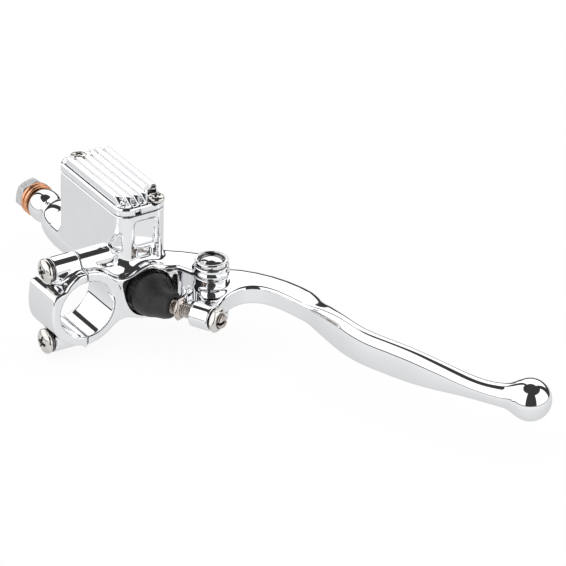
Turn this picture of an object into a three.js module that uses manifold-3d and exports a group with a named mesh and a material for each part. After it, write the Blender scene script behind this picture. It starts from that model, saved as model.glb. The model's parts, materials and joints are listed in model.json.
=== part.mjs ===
// Front brake master cylinder for a 25.4 mm handlebar: cast body with reservoir, split clamp,
// dog-leg lever and push-screw adjuster.
// Millimetres, +Z up, X outboard along the bar, Y forward. The origin lies in the clamp cap's
// outboard face, level with the handlebar axis and midway through the cap's ring wall.
// Shapes are drawn from the handlebar axis; each finished piece is moved forward by DATUM_Y.
import * as THREE from 'three';
import { mergeVertices } from 'three/addons/utils/BufferGeometryUtils.js';
import Module from 'manifold-3d';

const wasm = await Module();
wasm.setup();

// ---------- driving dimensions (R is a radius, _X, _Y and _Z are positions) ----------
const BAR_R = 12.7;
const CLAMP_R = 16.5;
const CLAMP_W = 20.6;                    // along the bar
const DATUM_Y = (BAR_R + CLAMP_R) / 2;   // from the origin forward to the handlebar axis
const SPLIT = 0.3;                       // half the gap between body and cap
const CLAMP_SCREW_X = -10.3;
const SEAT_Y = -11.9;                    // plane under the clamp screw washers
const CLAMP_SCREWS = [
  { place: 'upper', z: 16.9, bossR: 5.3, holeDepth: 13.5, shank: 23.8 },
  { place: 'lower', z: -15.8, bossR: 5.2, holeDepth: 8.2, shank: 18.6 },
];

const CYLINDER_Y = 29.5;                 // cylinder axis, parallel to the bar at Z = 0
const BORE_R = 6.6;
const PISTON_R = 6.5;
const BARREL_R = 10.3;
const MOUTH_R = 12.1;
const NECK_R = 7.0;
const OUTLET_X = -90.2;                  // inboard end of the outlet neck

const RESERVOIR = {
  x0: -57.6, x1: -4.6, y0: 18, y1: 41.2,
  cornerR: 6, wall: 2.6, bottomZ: 6, floorZ: 15.2, topZ: 34.6,
};
const GASKET_Z = [34.65, 34.95];
const COVER_Z = [35.05, 38.6];           // underside and top of the cover plate
const RIB_H = 3.4;
const RIB_W = 2.1;
const RIB_PITCH = 3.6;
const PAD_HALF_W = 3.4;
// padZ is the height under the head; padX and padY are the pad's far limits
const COVER_SCREWS = [
  { place: 'inboard', x: -53.4, y: 26.6, padZ: 38.3, padX: -55, padY: 30 },
  { place: 'outboard', x: -8.2, y: 37.0, padZ: 37.3, padX: -3, padY: 43 },
];

const PIVOT = { x: 11.5, y: 52 };
const PIVOT_R = 4.0;
const PIVOT_HOLE_R = 4.08;
const EAR_R = 7.3;
const EAR_Z = 8.6;                       // half height of the lever slot
const EAR_TOP = EAR_Z + 4.4;
const FORK_TOP = EAR_TOP - 2.2;          // top of the arm around the raised upper ear
const HUB_H = 8.25;                      // half heights of lever hub and arm
const ARM_H = 4.25;
const ADJUSTER_ANGLE = 27.5 * Math.PI / 180;   // from X toward Y
const ADJUSTER_X = 10.5;                 // where its axis crosses the cylinder axis
const SCREW_R = 3.0;

// ---------- axes and points ----------
const TAU = Math.PI * 2;
const point = (x, y, z) => new THREE.Vector3(x, y, z);
const OUTBOARD = point(1, 0, 0);
const FORWARD = point(0, 1, 0);
const UP = point(0, 0, 1);
const INBOARD = point(-1, 0, 0);
const REARWARD = point(0, -1, 0);
const DOWN = point(0, 0, -1);
const ADJUSTER = point(Math.cos(ADJUSTER_ANGLE), Math.sin(ADJUSTER_ANGLE), 0);

const onCylinder = x => point(x, CYLINDER_Y, 0);
const onPivot = z => point(PIVOT.x, PIVOT.y, z);
// point at a distance along the adjuster axis and, level, to its left
const offAdjuster = (along, left) => [
  ADJUSTER_X + along * ADJUSTER.x - ADJUSTER.y * left,
  CYLINDER_Y + along * ADJUSTER.y + ADJUSTER.x * left];
const onAdjuster = along => point(...offAdjuster(along, 0), 0);

// ---------- solids ----------
const add = (...solids) => solids.reduce((sum, next) => sum.add(next));
const cut = (base, ...tools) => tools.reduce((rest, tool) => rest.subtract(tool), base);

function toSolid(source) {
  source.deleteAttribute('normal');
  source.deleteAttribute('uv');
  const merged = mergeVertices(source, 1e-4);
  const index = merged.index.array;
  const triangles = [];
  for (let i = 0; i < index.length; i += 3) {
    const [a, b, c] = index.slice(i, i + 3);
    if (a !== b && b !== c && a !== c) triangles.push(a, b, c);
  }
  return new wasm.Manifold(new wasm.Mesh({
    numProp: 3,
    vertProperties: new Float32Array(merged.attributes.position.array),
    triVerts: new Uint32Array(triangles),
  }));
}

function toGeometry(solid) {
  const mesh = solid.getMesh();
  const geometry = new THREE.BufferGeometry();
  const positions = new Float32Array(mesh.vertProperties);
  geometry.setAttribute('position', new THREE.BufferAttribute(positions, 3));
  geometry.setIndex(new THREE.BufferAttribute(new Uint32Array(mesh.triVerts), 1));
  geometry.computeVertexNormals();
  return geometry;
}

function indexed(positions, index) {
  const geometry = new THREE.BufferGeometry();
  geometry.setAttribute('position', new THREE.Float32BufferAttribute(positions, 3));
  geometry.setIndex(index);
  return geometry;
}

// turns a shape built along +Z so that it starts at a point and runs along a direction
function aim(geometry, start, direction) {
  geometry.applyQuaternion(new THREE.Quaternion().setFromUnitVectors(UP, direction));
  return geometry.translate(start.x, start.y, start.z);
}

// triangles between successive rings of equal point count
function ringSides(rings, segments) {
  const index = [];
  for (let i = 0; i < rings - 1; i++) {
    for (let j = 0; j < segments; j++) {
      const a = i * segments + j;
      const b = i * segments + (j + 1) % segments;
      index.push(a, b, b + segments, a, b + segments, a + segments);
    }
  }
  return index;
}

// solid of revolution; the profile is [radius, distance along the axis] pairs
function turn(profile, start, direction, segments, phase = 0) {
  const positions = [];
  for (const [radius, along] of profile) {
    for (let j = 0; j < segments; j++) {
      const angle = TAU * j / segments + phase;
      positions.push(radius * Math.cos(angle), radius * Math.sin(angle), along);
    }
  }
  const geometry = indexed(positions, ringSides(profile.length, segments));
  return toSolid(aim(geometry, start, direction));
}

function rod(radius, start, direction, length, segments, chamfer = 0, phase = 0.053) {
  const profile = chamfer
    ? [[0, 0], [radius - chamfer, 0], [radius, chamfer],
      [radius, length - chamfer], [radius - chamfer, length], [0, length]]
    : [[0, 0], [radius, 0], [radius, length], [0, length]];
  return turn(profile, start, direction, segments, phase);
}

function ball(radius, centre, segments, rows) {
  const profile = Array.from({ length: rows + 1 }, (_, i) => {
    const angle = Math.PI * i / rows;
    return [i === 0 || i === rows ? 0 : radius * Math.sin(angle), -radius * Math.cos(angle)];
  });
  return turn(profile, centre, UP, segments);
}

const arc = (cx, cy, radius, from, to, steps) => Array.from({ length: steps + 1 }, (_, i) => {
  const angle = from + (to - from) * i / steps;
  return [cx + radius * Math.cos(angle), cy + radius * Math.sin(angle)];
});

// prism on a closed outline in the 'xy', 'yz' or 'xz' plane, between two places on the third axis
function prism(outline, from, to, plane) {
  const corners = outline.filter(([x, y], i) => {
    const [nextX, nextY] = outline[(i + 1) % outline.length];
    return Math.hypot(nextX - x, nextY - y) > 1e-3;
  });
  const shape = new THREE.Shape(corners.map(([x, y]) => new THREE.Vector2(x, y)));
  const geometry = new THREE.ExtrudeGeometry(shape, { depth: to - from, bevelEnabled: false });
  geometry.translate(0, 0, plane === 'xz' ? -to : from);
  const turned = new THREE.Matrix4();
  if (plane === 'yz') geometry.applyMatrix4(turned.makeBasis(FORWARD, UP, OUTBOARD));
  if (plane === 'xz') geometry.applyMatrix4(turned.makeBasis(OUTBOARD, UP, REARWARD));
  return toSolid(geometry);
}

const box = (x0, x1, y0, y1, z0, z1) => toSolid(
  new THREE.BoxGeometry(x1 - x0, y1 - y0, z1 - z0)
    .translate((x0 + x1) / 2, (y0 + y1) / 2, (z0 + z1) / 2));

// hexagonal prism with its corners chamfered at both ends
function hex(acrossFlats, start, direction, length, spin, chamfer) {
  const cornerR = acrossFlats / Math.sqrt(3);
  const endR = acrossFlats / 2 - 0.1;
  const blank = prism(arc(0, 0, cornerR, spin, spin + TAU, 6), 0, length, 'xy');
  const envelope = turn([[0, 0], [endR, 0], [cornerR + 0.02, chamfer],
    [cornerR + 0.02, length - chamfer], [endR, length], [0, length]], point(0, 0, 0), UP, 24);
  return toSolid(aim(toGeometry(blank.intersect(envelope)), start, direction));
}

// skin through superellipse rings [x, y, heading, half width, half height, exponent]
function loft(stations, segments) {
  const positions = [];
  for (const [x, y, heading, halfW, halfH, exponent] of stations) {
    const bulge = value => Math.sign(value) * Math.abs(value) ** (2 / exponent);
    for (let j = 0; j < segments; j++) {
      const angle = TAU * j / segments;
      const across = halfW * bulge(Math.cos(angle));
      positions.push(x - Math.sin(heading) * across, y + Math.cos(heading) * across,
        halfH * bulge(Math.sin(angle)));
    }
  }
  const index = ringSides(stations.length, segments);
  for (const ring of [0, stations.length - 1]) {
    const centre = positions.length / 3;
    positions.push(stations[ring][0], stations[ring][1], 0);
    for (let j = 0; j < segments; j++) {
      const a = ring * segments + j;
      const b = ring * segments + (j + 1) % segments;
      index.push(centre, ...(ring ? [a, b] : [b, a]));
    }
  }
  return toSolid(indexed(positions, index));
}

// ---------- finishes and pieces ----------
const finish = (color, metalness) => ({ roughness }) =>
  new THREE.MeshStandardMaterial({ color, roughness, metalness });
const chrome = finish(0xd9dcde, 1);
const zinc = finish(0xc9c3b4, 1);
const steel = finish(0xb9bcbf, 1);
const copper = finish(0xc4713f, 1);
const brass = finish(0xb89a55, 1);
const rubber = finish(0x1b1b1c, 0);
const plastic = finish(0xe4e2d8, 0);

const part = new THREE.Group();
part.name = 'motorcycle_brake_master_cylinder';

function piece(name, solid, material) {
  const placed = solid.simplify(0.004).translate([0, DATUM_Y, 0]);
  const mesh = new THREE.Mesh(toGeometry(placed), material);
  mesh.name = name;
  part.add(mesh);
}

// ---------- shared shapes ----------
// reservoir plan with rounded corners, moved inward by an inset
function reservoirPlan(inset, steps = 5) {
  const { x0, x1, y0, y1, cornerR } = RESERVOIR;
  const centres = [[x1 - cornerR, y0 + cornerR], [x1 - cornerR, y1 - cornerR],
    [x0 + cornerR, y1 - cornerR], [x0 + cornerR, y0 + cornerR]];
  return centres.flatMap(([x, y], i) =>
    arc(x, y, cornerR - inset, (i - 1) * TAU / 4, i * TAU / 4, steps));
}

const coverRods = (radius, z, length, segments) =>
  COVER_SCREWS.map(({ x, y }) => rod(radius, point(x, y, z), UP, length, segments));
const coverHoles = radius => coverRods(radius, 0, 60, 14);
const clampRod = (radius, y, z, direction, length, segments, chamfer) =>
  rod(radius, point(CLAMP_SCREW_X, y, z), direction, length, segments, chamfer);
const barBore = phase =>
  rod(BAR_R, point(-CLAMP_W - 1, 0, 0), OUTBOARD, CLAMP_W + 2, 48, 0, phase);

// ---------- cast body ----------
// clamp half ring and web to the cylinder, [y, z]
const WEB = [
  [SPLIT, CLAMP_R], [3.9, 16.1], [8.2, 14.3], [12.2, 11.7], [15.6, 10.2], [19.5, 9.9],
  [23.6, 10.6], [29.5, 11.6], [36, 9.9], [38, 6], [37, -5], [29.5, -10.6], [24.9, -10.2],
  [20, -9.5], [15.4, -10.1], [10.7, -12.9], [7.3, -14.4], [3.6, -16.0], [SPLIT, -CLAMP_R]];
// clamp bosses, [radius, distance forward of the split face]
const [UPPER, LOWER] = CLAMP_SCREWS;
const UPPER_BOSS = [[0, 0], [UPPER.bossR, 0], [UPPER.bossR, 12.5 - SPLIT], [4.7, 15 - SPLIT],
  [3.0, 16.9 - SPLIT], [0, 17.8 - SPLIT]];
const LOWER_BOSS = [[0, 0], [LOWER.bossR, 0], [LOWER.bossR, 5.5], [4.2, 8], [0, 9.6]];
// fillings between the bosses and the web, [y, z]
const UPPER_FILL = [[SPLIT, 10], [15, 8], [14.2, 14.2], [SPLIT, 17]];
const LOWER_FILL = [[SPLIT, -9], [12, -8], [8.5, -13.6], [SPLIT, -16]];
// mouth boss, barrel and outlet neck, [radius, distance inboard]
const BARREL = [
  [0, 0], [MOUTH_R - 0.5, 0], [MOUTH_R, 0.5], [MOUTH_R, 9], [BARREL_R, 13], [BARREL_R, 61],
  [9.9, 65.5], [9.2, 70], [8.3, 73.8], [7.5, 76.5], [6.9, 78.5], [6.8, 80.3], [NECK_R, 83.2],
  [6.95, 86.4], [6.6, 88.8], [6.1, -OUTLET_X], [0, -OUTLET_X]];
// flared foot of the reservoir, [y, z]
const FOOT = [[19, 6], [40.3, 6], [41.2, 10], [41.2, 13], [18, 13], [18, 9]];
// lever fork arm, its top plate and the slot between its ears, [x, y]
const FORK_BACK = [[-4, 54.2], [-11.5, 44.5], [-14, 40]];
const FORK_ARM = [[-12, 37], [2.3, 41.6],
  ...arc(PIVOT.x, PIVOT.y, EAR_R, -1.75, 2.35, 14), ...FORK_BACK];
const TOP_PLATE = [[-15, 28.2], [-0.8, 28.2], [0.1, 31], [1.9, 37], [3.4, 40.8],
  ...arc(PIVOT.x, PIVOT.y, EAR_R, -1.9, 2.35, 14), ...FORK_BACK];
const LEVER_SLOT = [
  [2.4, 30], [2.4, 43.4], [1.2, 47], [0.4, 52], [-1.2, 64], [40, 70], [40, 30]];
const MOUTH_RECESS = [[0, 0], [10.75, 0], [10.75, 7.6], [10.2, 8.4], [0, 8.4]];
const REAR_RELIEF = [[-17.4, 15.8], [-5.9, 19.2], [-5.9, 27.2], [-9.6, 25.2]];   // [x, z]

function bodyCasting() {
  const { x0, x1, bottomZ, topZ } = RESERVOIR;
  return add(
    prism(WEB, -CLAMP_W, 0, 'yz'),
    turn(UPPER_BOSS, point(CLAMP_SCREW_X, SPLIT, UPPER.z), FORWARD, 24),
    turn(LOWER_BOSS, point(CLAMP_SCREW_X, SPLIT, LOWER.z), FORWARD, 24),
    prism(UPPER_FILL, -14, -6.6, 'yz'),
    prism(LOWER_FILL, -14, -6.6, 'yz'),
    turn(BARREL, onCylinder(0), INBOARD, 36),
    prism(reservoirPlan(0, 6), bottomZ, topZ, 'xy'),
    prism(FOOT, x0 + 5, x1, 'yz'),
    prism(FORK_ARM, -EAR_TOP, FORK_TOP, 'xy'),
    prism(TOP_PLATE, EAR_Z, FORK_TOP, 'xy'),
    prism(arc(PIVOT.x, PIVOT.y, EAR_R, 0, TAU, 24), EAR_Z, EAR_TOP, 'xy'),
  );
}

function masterCylinderBody() {
  const { wall, floorZ, topZ } = RESERVOIR;
  // chamber open at the top, with bosses kept for the two cover screws
  const chamber = cut(prism(reservoirPlan(wall, 6), floorZ, topZ + 2, 'xy'),
    ...coverRods(3.7, 5, 40, 18));
  const body = cut(
    bodyCasting(),
    prism(LEVER_SLOT, -EAR_Z, EAR_Z, 'xy'),
    rod(BORE_R, onCylinder(1), INBOARD, 73, 30),
    rod(5.15, onCylinder(-70), INBOARD, 25, 24),    // outlet
    turn(MOUTH_RECESS, onCylinder(6), INBOARD, 32),
    rod(9.2, onCylinder(0), INBOARD, 7.2, 30),      // counterbore
    rod(9.8, onCylinder(-4.7), INBOARD, 1.3, 30),   // circlip groove
    rod(PIVOT_HOLE_R, onPivot(-20), UP, 40, 24),
    barBore(),
    ...CLAMP_SCREWS.map(({ z, holeDepth }) => clampRod(3.15, -1, z, FORWARD, holeDepth, 14)),
    chamber,
    ...coverRods(2.1, topZ - 11, 20, 12),
    rod(1.6, onCylinder(-24), UP, 20, 12),          // supply port
    rod(0.6, onCylinder(-39), UP, 20, 12),          // compensating port
    prism(REAR_RELIEF, 17, 18.9, 'xz'),
    // sunk panel and, below it, a notch in the reservoir's outboard wall
    box(-5.2, -3, 24.2, 35.2, 21.6, 31.6),
    box(-5.9, -3, 26.6, 32.6, 14.6, 18.6),
  );
  piece('master_cylinder_body', body, chrome({ roughness: 0.08 }));
}

// ---------- clamp ----------
// fillings between the cap's ring and its bosses, [y, z]
const CAP_UPPER_FILL = [[-SPLIT, 8], [-SPLIT, 17], [SEAT_Y, 17], [SEAT_Y, 11.4],
  [-13.8, 9.6], [-15.4, 6], [-13, 4]];
const CAP_LOWER_FILL = [[-SPLIT, -8], [-13, -4], [-15.4, -6], [-13.8, -8.8],
  [SEAT_Y, -10.4], [SEAT_Y, -16], [-SPLIT, -16]];

function clampCap() {
  const halfRing = arc(0, 0, CLAMP_R, TAU / 4 + 0.018, 0.75 * TAU - 0.018, 24);
  const blank = add(
    prism(halfRing, -CLAMP_W, 0, 'yz'),
    ...CLAMP_SCREWS.map(({ z, bossR }) =>
      clampRod(bossR, -SPLIT, z, REARWARD, -SEAT_Y - SPLIT, 24)),
    prism(CAP_UPPER_FILL, -16, -4.6, 'yz'),
    prism(CAP_LOWER_FILL, -16, -4.6, 'yz'),
  );
  const cap = cut(
    blank,
    barBore(0.02),
    box(-30, 5, -SPLIT, 20, -30, 30),   // everything forward of the split face
    ...CLAMP_SCREWS.map(({ z }) => clampRod(3.3, 1, z, REARWARD, 20, 18)),
    ...CLAMP_SCREWS.map(({ z }) => clampRod(5.7, SEAT_Y, z, REARWARD, 8, 24)),   // spot faces
  );
  piece('clamp_cap', cap, chrome({ roughness: 0.08 }));
}

function clampWasher({ place, z }) {
  const washer = cut(
    clampRod(5.0, SEAT_Y - 0.15, z, REARWARD, 1.15, 24, 0.15),
    clampRod(3.3, 0, z, REARWARD, 30, 18),
    box(CLAMP_SCREW_X - 0.5, CLAMP_SCREW_X + 0.5, -20, 0, z, z + 8),   // split in the ring
  );
  piece('clamp_washer_' + place, washer, steel({ roughness: 0.35 }));
}

// screw head profiles, [radius, distance out from the underside]
const CLAMP_HEAD = [[0, 0], [5.1, 0], [5.35, 0.3], [5.35, 1.5], [4.9, 2.3], [3.6, 2.8], [0, 3.0]];
const COVER_HEAD = [[0, 0], [3.4, 0], [3.55, 0.2], [3.55, 1.4], [3.1, 2.2], [2.0, 2.6], [0, 2.7]];

function clampScrew({ place, z, shank }) {
  const x = CLAMP_SCREW_X;
  const y = SEAT_Y - 1.45;   // underside of the head
  const slot = (halfX, halfZ) =>
    box(x - halfX, x + halfX, y - 4, y - 1.2, z - halfZ, z + halfZ);
  const screw = cut(
    add(turn(CLAMP_HEAD, point(x, y, z), REARWARD, 24),
      clampRod(2.95, y - 0.4, z, FORWARD, shank, 18, 0.5)),
    slot(3, 0.55),
    slot(0.55, 3),
  );
  piece('clamp_screw_' + place, screw, zinc({ roughness: 0.3 }));
}

// ---------- reservoir ----------
function reservoirDiaphragm() {
  const [bottom, top] = GASKET_Z;
  const { wall } = RESERVOIR;
  const flange = prism(reservoirPlan(0.35), bottom, top, 'xy');
  const bag = cut(prism(reservoirPlan(wall + 0.6), 25, bottom + 0.2, 'xy'), ...coverHoles(5.2));
  const hollow = cut(prism(reservoirPlan(wall + 1.8), 26.2, top + 1, 'xy'), ...coverHoles(6.4));
  const diaphragm = cut(add(flange, bag), hollow, ...coverHoles(2.3));
  piece('reservoir_diaphragm', diaphragm, rubber({ roughness: 0.8 }));
}

function diaphragmPlate() {
  const plate = cut(
    prism(reservoirPlan(2.4), COVER_Z[0] + 0.1, COVER_Z[0] + 0.8, 'xy'),
    ...coverHoles(2.4),
    rod(1.2, point(-28, 29.6, 0), UP, 60, 12),
  );
  piece('diaphragm_plate', plate, plastic({ roughness: 0.5 }));
}

// one of six ribs along X with sloping ends; the outer two are shorter
function coverRib(_, i) {
  const { x0, x1, y0, y1 } = RESERVOIR;
  const top = COVER_Z[1];
  const y = (y0 + y1) / 2 + (i - 2.5) * RIB_PITCH;
  const inset = i === 0 || i === 5 ? 3.2 : 1.4;
  const side = [
    [x0 + inset, top - 0.5], [x0 + inset, top + 0.6], [x0 + inset + 1.8, top + RIB_H],
    [x1 - inset - 2.6, top + RIB_H], [x1 - inset, top + 0.4], [x1 - inset, top - 0.5]];
  return prism(side, y - RIB_W / 2, y + RIB_W / 2, 'xz');
}

function reservoirCover() {
  const [bottom, top] = COVER_Z;
  const { x1 } = RESERVOIR;
  const plate = add(
    prism(reservoirPlan(0), bottom, top - 0.7, 'xy'),
    prism(reservoirPlan(0.7), top - 0.8, top, 'xy'),
  );
  const hollow = cut(plate, prism(reservoirPlan(2.1), bottom - 1, bottom + 1.3, 'xy'));
  const pads = COVER_SCREWS.flatMap(({ x, y, padX, padY, padZ }) => [
    rod(4.9, point(x, y, padZ), UP, 10, 20),
    box(Math.min(x, padX), Math.max(x, padX), y - PAD_HALF_W, padY, padZ, 45)]);
  const cover = cut(
    add(hollow, ...Array.from({ length: 6 }, coverRib)),
    ...pads,
    ...coverHoles(2.35),
    box(x1 - 1.1, x1 + 1, 25.4, 27.8, bottom - 0.5, bottom + 2.2),   // outboard edge notch
  );
  piece('reservoir_cover', cover, chrome({ roughness: 0.1 }));
}

function coverScrew({ place, x, y, padZ }) {
  const z = padZ + 0.12;   // underside of the head
  const slot = (halfX, halfY) =>
    box(x - halfX, x + halfX, y - halfY, y + halfY, z + 1.1, z + 4);
  const screw = cut(
    add(turn(COVER_HEAD, point(x, y, z), UP, 20),
      rod(1.95, point(x, y, z + 0.4), DOWN, z - 26, 14, 0.4)),
    slot(2.3, 0.45),
    slot(0.45, 2.3),
  );
  piece('cover_screw_' + place, screw, zinc({ roughness: 0.3 }));
}

// ---------- hydraulic outlet ----------
const OUTLET_GAP = 0.12;
const COPPER_T = 2.1;
const COPPER_PITCH = COPPER_T + OUTLET_GAP;

function copperWasher(place, x) {
  const washer = cut(rod(7.2, onCylinder(x), INBOARD, COPPER_T, 26, 0.35),
    rod(5.2, onCylinder(x + 1), INBOARD, 9, 20));
  piece('copper_washer_' + place, washer, copper({ roughness: 0.3 }));
}

function banjoBolt() {
  const x = OUTLET_X - OUTLET_GAP - 2 * COPPER_PITCH;   // underside of the head
  const bolt = cut(
    add(hex(12.6, onCylinder(x), INBOARD, 5.6, 0.72, 0.9),
      rod(6.4, onCylinder(x), INBOARD, 0.8, 26),
      rod(4.9, onCylinder(x - 1), OUTBOARD, 20.5, 20, 0.8)),
    rod(1.6, onCylinder(-73), INBOARD, 17, 12),                     // bore along the axis
    rod(1.2, point(x + 3.4, CYLINDER_Y - 8, 0), FORWARD, 16, 12),   // cross hole
  );
  piece('banjo_bolt', bolt, steel({ roughness: 0.38 }));
}

// ---------- hydraulic internals ----------
// [radius, distance inboard]
const PISTON = [
  [0, -9.4], [3.6, -9.4], [4.0, -9.0], [4.0, -0.6], [5.15, 0.4], [5.15, 7.3], [PISTON_R, 7.5],
  [PISTON_R, 9.6], [4.6, 9.6], [4.6, 13.2], [PISTON_R, 13.2], [PISTON_R, 16], [4.2, 17],
  [4.2, 30], [PISTON_R, 31], [PISTON_R, 33.6], [0, 33.6]];
const SECONDARY_CUP = [[4.75, 9.75], [6.0, 9.75], [6.5, 13.0], [5.6, 13.0], [5.4, 11.4],
  [4.75, 13.0], [4.75, 9.75]];
const PRIMARY_CUP = [[0, 33.75], [6.1, 33.75], [6.3, 34.4], [6.5, 37.4], [5.3, 37.4],
  [5.0, 35.4], [0, 35.4]];

function pistonAndCups() {
  const turned = (profile, segments) => turn(profile, onCylinder(0), INBOARD, segments);
  piece('piston', turned(PISTON, 26), steel({ roughness: 0.25 }));
  piece('secondary_cup', turned(SECONDARY_CUP, 24), rubber({ roughness: 0.7 }));
  piece('primary_cup', turned(PRIMARY_CUP, 24), rubber({ roughness: 0.7 }));
}

function pistonRetainers() {
  const washer = cut(rod(8.9, onCylinder(-6.15), INBOARD, 0.9, 24),
    rod(5.45, onCylinder(0), INBOARD, 12, 20));
  piece('stop_washer', washer, steel({ roughness: 0.35 }));
  const circlip = cut(rod(9.5, onCylinder(-4.85), INBOARD, 1.0, 24),
    rod(7.4, onCylinder(0), INBOARD, 12, 20),
    box(-8, 0, CYLINDER_Y - 1.6, CYLINDER_Y + 1.6, -12, 0));   // gap at the bottom
  piece('piston_circlip', circlip, steel({ roughness: 0.35 }));
}

const SPRING = { x0: -36.4, x1: -71.0, turns: 6.5, coilR: 4.3, wireR: 0.5, endPart: 0.12 };

// open coils between two nearly closed end coils
class SpringPath extends THREE.Curve {
  getPoint(t, target = new THREE.Vector3()) {
    const { x0, x1, turns, coilR, wireR, endPart } = SPRING;
    const open = THREE.MathUtils.clamp((t - endPart) / (1 - 2 * endPart), 0, 1);
    const closed = Math.min(t, endPart) + Math.max(t - (1 - endPart), 0);
    const angle = TAU * turns * t;
    return target.set(
      x0 - 0.3 - wireR + (x1 - x0 + 0.6 + 2 * wireR) * open - 2.2 * wireR * closed,
      CYLINDER_Y + coilR * Math.cos(angle),
      coilR * Math.sin(angle));
  }
}

function returnSpring() {
  const wire = arc(0, 0, SPRING.wireR, 0, TAU * 4 / 5, 4);   // pentagonal section
  const shape = new THREE.Shape(wire.map(([x, y]) => new THREE.Vector2(x, y)));
  const options = { steps: 84, bevelEnabled: false, extrudePath: new SpringPath() };
  const spring = toSolid(new THREE.ExtrudeGeometry(shape, options));
  piece('return_spring', spring, steel({ roughness: 0.3 }));
}

// ---------- rubber boot over the piston end ----------
// [x, y from the cylinder axis, heading in radians, radius]
const BOOT = [
  [-4.35, 0, 0, 9.0], [0.6, 0, 0, 9.0], [0.9, 0, 0, 9.9], [2.2, 0.05, 0.02, 10.0],
  [3.4, 0.15, 0.06, 9.7], [5.8, 0.55, 0.16, 8.8], [9.0, 1.3, 0.3, 7.4], [11.6, 2.0, 0.42, 6.4],
  [13.7, 2.6, ADJUSTER_ANGLE, 5.7], [14.5, 3.0, ADJUSTER_ANGLE, 5.3]];

function dustBoot() {
  const skin = rows => loft(rows.map(([x, y, heading, radius]) =>
    [x, CYLINDER_Y + y, heading, radius, radius, 2]), 26);
  // the hollow breaks out inboard, stops short of the tip and skips the outer bead
  const hollow = BOOT.map(([x, y, heading, radius], i) => {
    if (i < 2) return [i === 0 ? x - 0.5 : x, y, heading, 7.6];
    const tip = i === BOOT.length - 1;
    return [tip ? x - 0.9 : x, tip ? y - 0.5 : y, heading, radius - 1.1];
  }).filter((_, i) => i !== 2 && i !== 3);
  const boot = cut(skin(BOOT), skin(hollow), rod(3.25, onAdjuster(0), ADJUSTER, 12, 20));
  piece('dust_boot', boot, rubber({ roughness: 0.75 }));
}

// ---------- lever ----------
// arm outline, [x, y]
const LEVER_ARM = [
  [4.4, 50.5], [5.6, 47.9], [8.2, 45.5], [11.6, 44.8], [15.4, 43.6], [18.4, 41.9],
  offAdjuster(15.4, 4.6), offAdjuster(15.4, -3.4), offAdjuster(24.1, -3.4),
  offAdjuster(24.1, 4.6), [28.5, 46.4], [25.6, 50], [23.4, 54.4], [22.2, 58.2], [22.2, 61.6],
  [23.4, 65], [26.2, 68.3], [30.4, 70.6], [36.5, 72.4], [44, 74.1], [50, 75.2], [50, 84.4],
  [44, 84.8], [38, 84.7], [32, 83.4], [25, 81.2], [18.4, 78.4], [12.2, 73.7], [6.8, 69.4],
  [3.6, 65.4], [2.6, 61], [3.0, 56]];
// [x, y, heading in degrees, half width, half height, exponent]
const GRIP = [
  [40, 79.2, 8, 4.9, 3.9, 5], [46, 79.7, 3, 4.5, 4.5, 4.4], [54, 79.8, 0, 4.2, 5.9, 3.4],
  [60, 79.9, 2, 4.05, 6.8, 2.9], [66, 80.1, 2, 3.9, 7.7, 2.6], [72, 80.3, 4, 3.9, 7.95, 2.5],
  [78, 80.9, 10, 3.9, 7.8, 2.5], [84, 82.3, 17, 3.9, 7.8, 2.5], [90, 84.5, 20.5, 3.9, 7.8, 2.4],
  [96, 86.8, 21.5, 3.85, 7.9, 2.4], [102, 89.2, 22, 3.85, 7.85, 2.35],
  [108, 91.6, 22.3, 3.8, 7.6, 2.3], [114, 94.1, 23.2, 3.8, 7.0, 2.3],
  [120, 96.8, 24.5, 3.8, 6.25, 2.3], [126, 99.5, 24.6, 3.8, 5.4, 2.2],
  [132, 102.2, 25, 3.9, 4.75, 2.2], [137, 104.7, 28, 4.0, 4.55, 2.1],
  [141, 107.2, 34, 4.2, 4.7, 2], [144.5, 110, 40, 4.8, 5.1, 2], [148, 113.3, 43, 6, 6, 2]];

function brakeLever() {
  const grip = GRIP.map(([x, y, degrees, ...section]) =>
    [x, y, degrees * Math.PI / 180, ...section]);
  const lever = cut(
    add(prism(LEVER_ARM, -ARM_H, ARM_H, 'xy'),
      rod(EAR_R - 0.1, onPivot(-HUB_H), UP, 2 * HUB_H, 30, 0.3),
      rod(5.35, onAdjuster(15.3), ADJUSTER, 8.9, 24, 0.3),
      loft(grip, 22),
      ball(8.9, point(152.3, 117.2, 0), 20, 14)),
    rod(5.4, onPivot(-15), UP, 30, 24),
    rod(3.2, onAdjuster(12), ADJUSTER, 16, 20),
  );
  piece('brake_lever', lever, chrome({ roughness: 0.08 }));
}

function pivotBush() {
  const bush = cut(rod(5.3, onPivot(-HUB_H + 0.05), UP, 2 * HUB_H - 0.1, 24),
    rod(PIVOT_HOLE_R, onPivot(-15), UP, 30, 24));
  piece('pivot_bush', bush, brass({ roughness: 0.35 }));
}

// dished head, [radius, height above the underside]
const PIVOT_HEAD = [[0, 0], [6.7, 0], [7.0, 0.3], [7.0, 2.0], [6.7, 2.4], [5.9, 2.4],
  [5.5, 1.5], [0, 0.9]];

function pivotBolt() {
  const z = EAR_TOP + 0.12;   // underside of the head
  const bolt = add(turn(PIVOT_HEAD, onPivot(z), UP, 30),
    rod(PIVOT_R, onPivot(z + 0.4), DOWN, 2 * z + 0.2, 24, 0.6));
  piece('pivot_bolt', bolt, steel({ roughness: 0.15 }));
}

// ---------- adjuster ----------
// round-nosed screw, [radius, distance along the adjuster axis]
const ADJUSTER_SCREW = [[0, -0.8], [1.15, -0.57], [2.12, 0.08], [2.77, 1.05], [SCREW_R, 2.2],
  [SCREW_R, 29.2], [2.6, 29.6], [0, 29.6]];
const ADJUSTER_SPIN = 0.5;   // radians, turns the slot and the nuts about the axis

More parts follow.
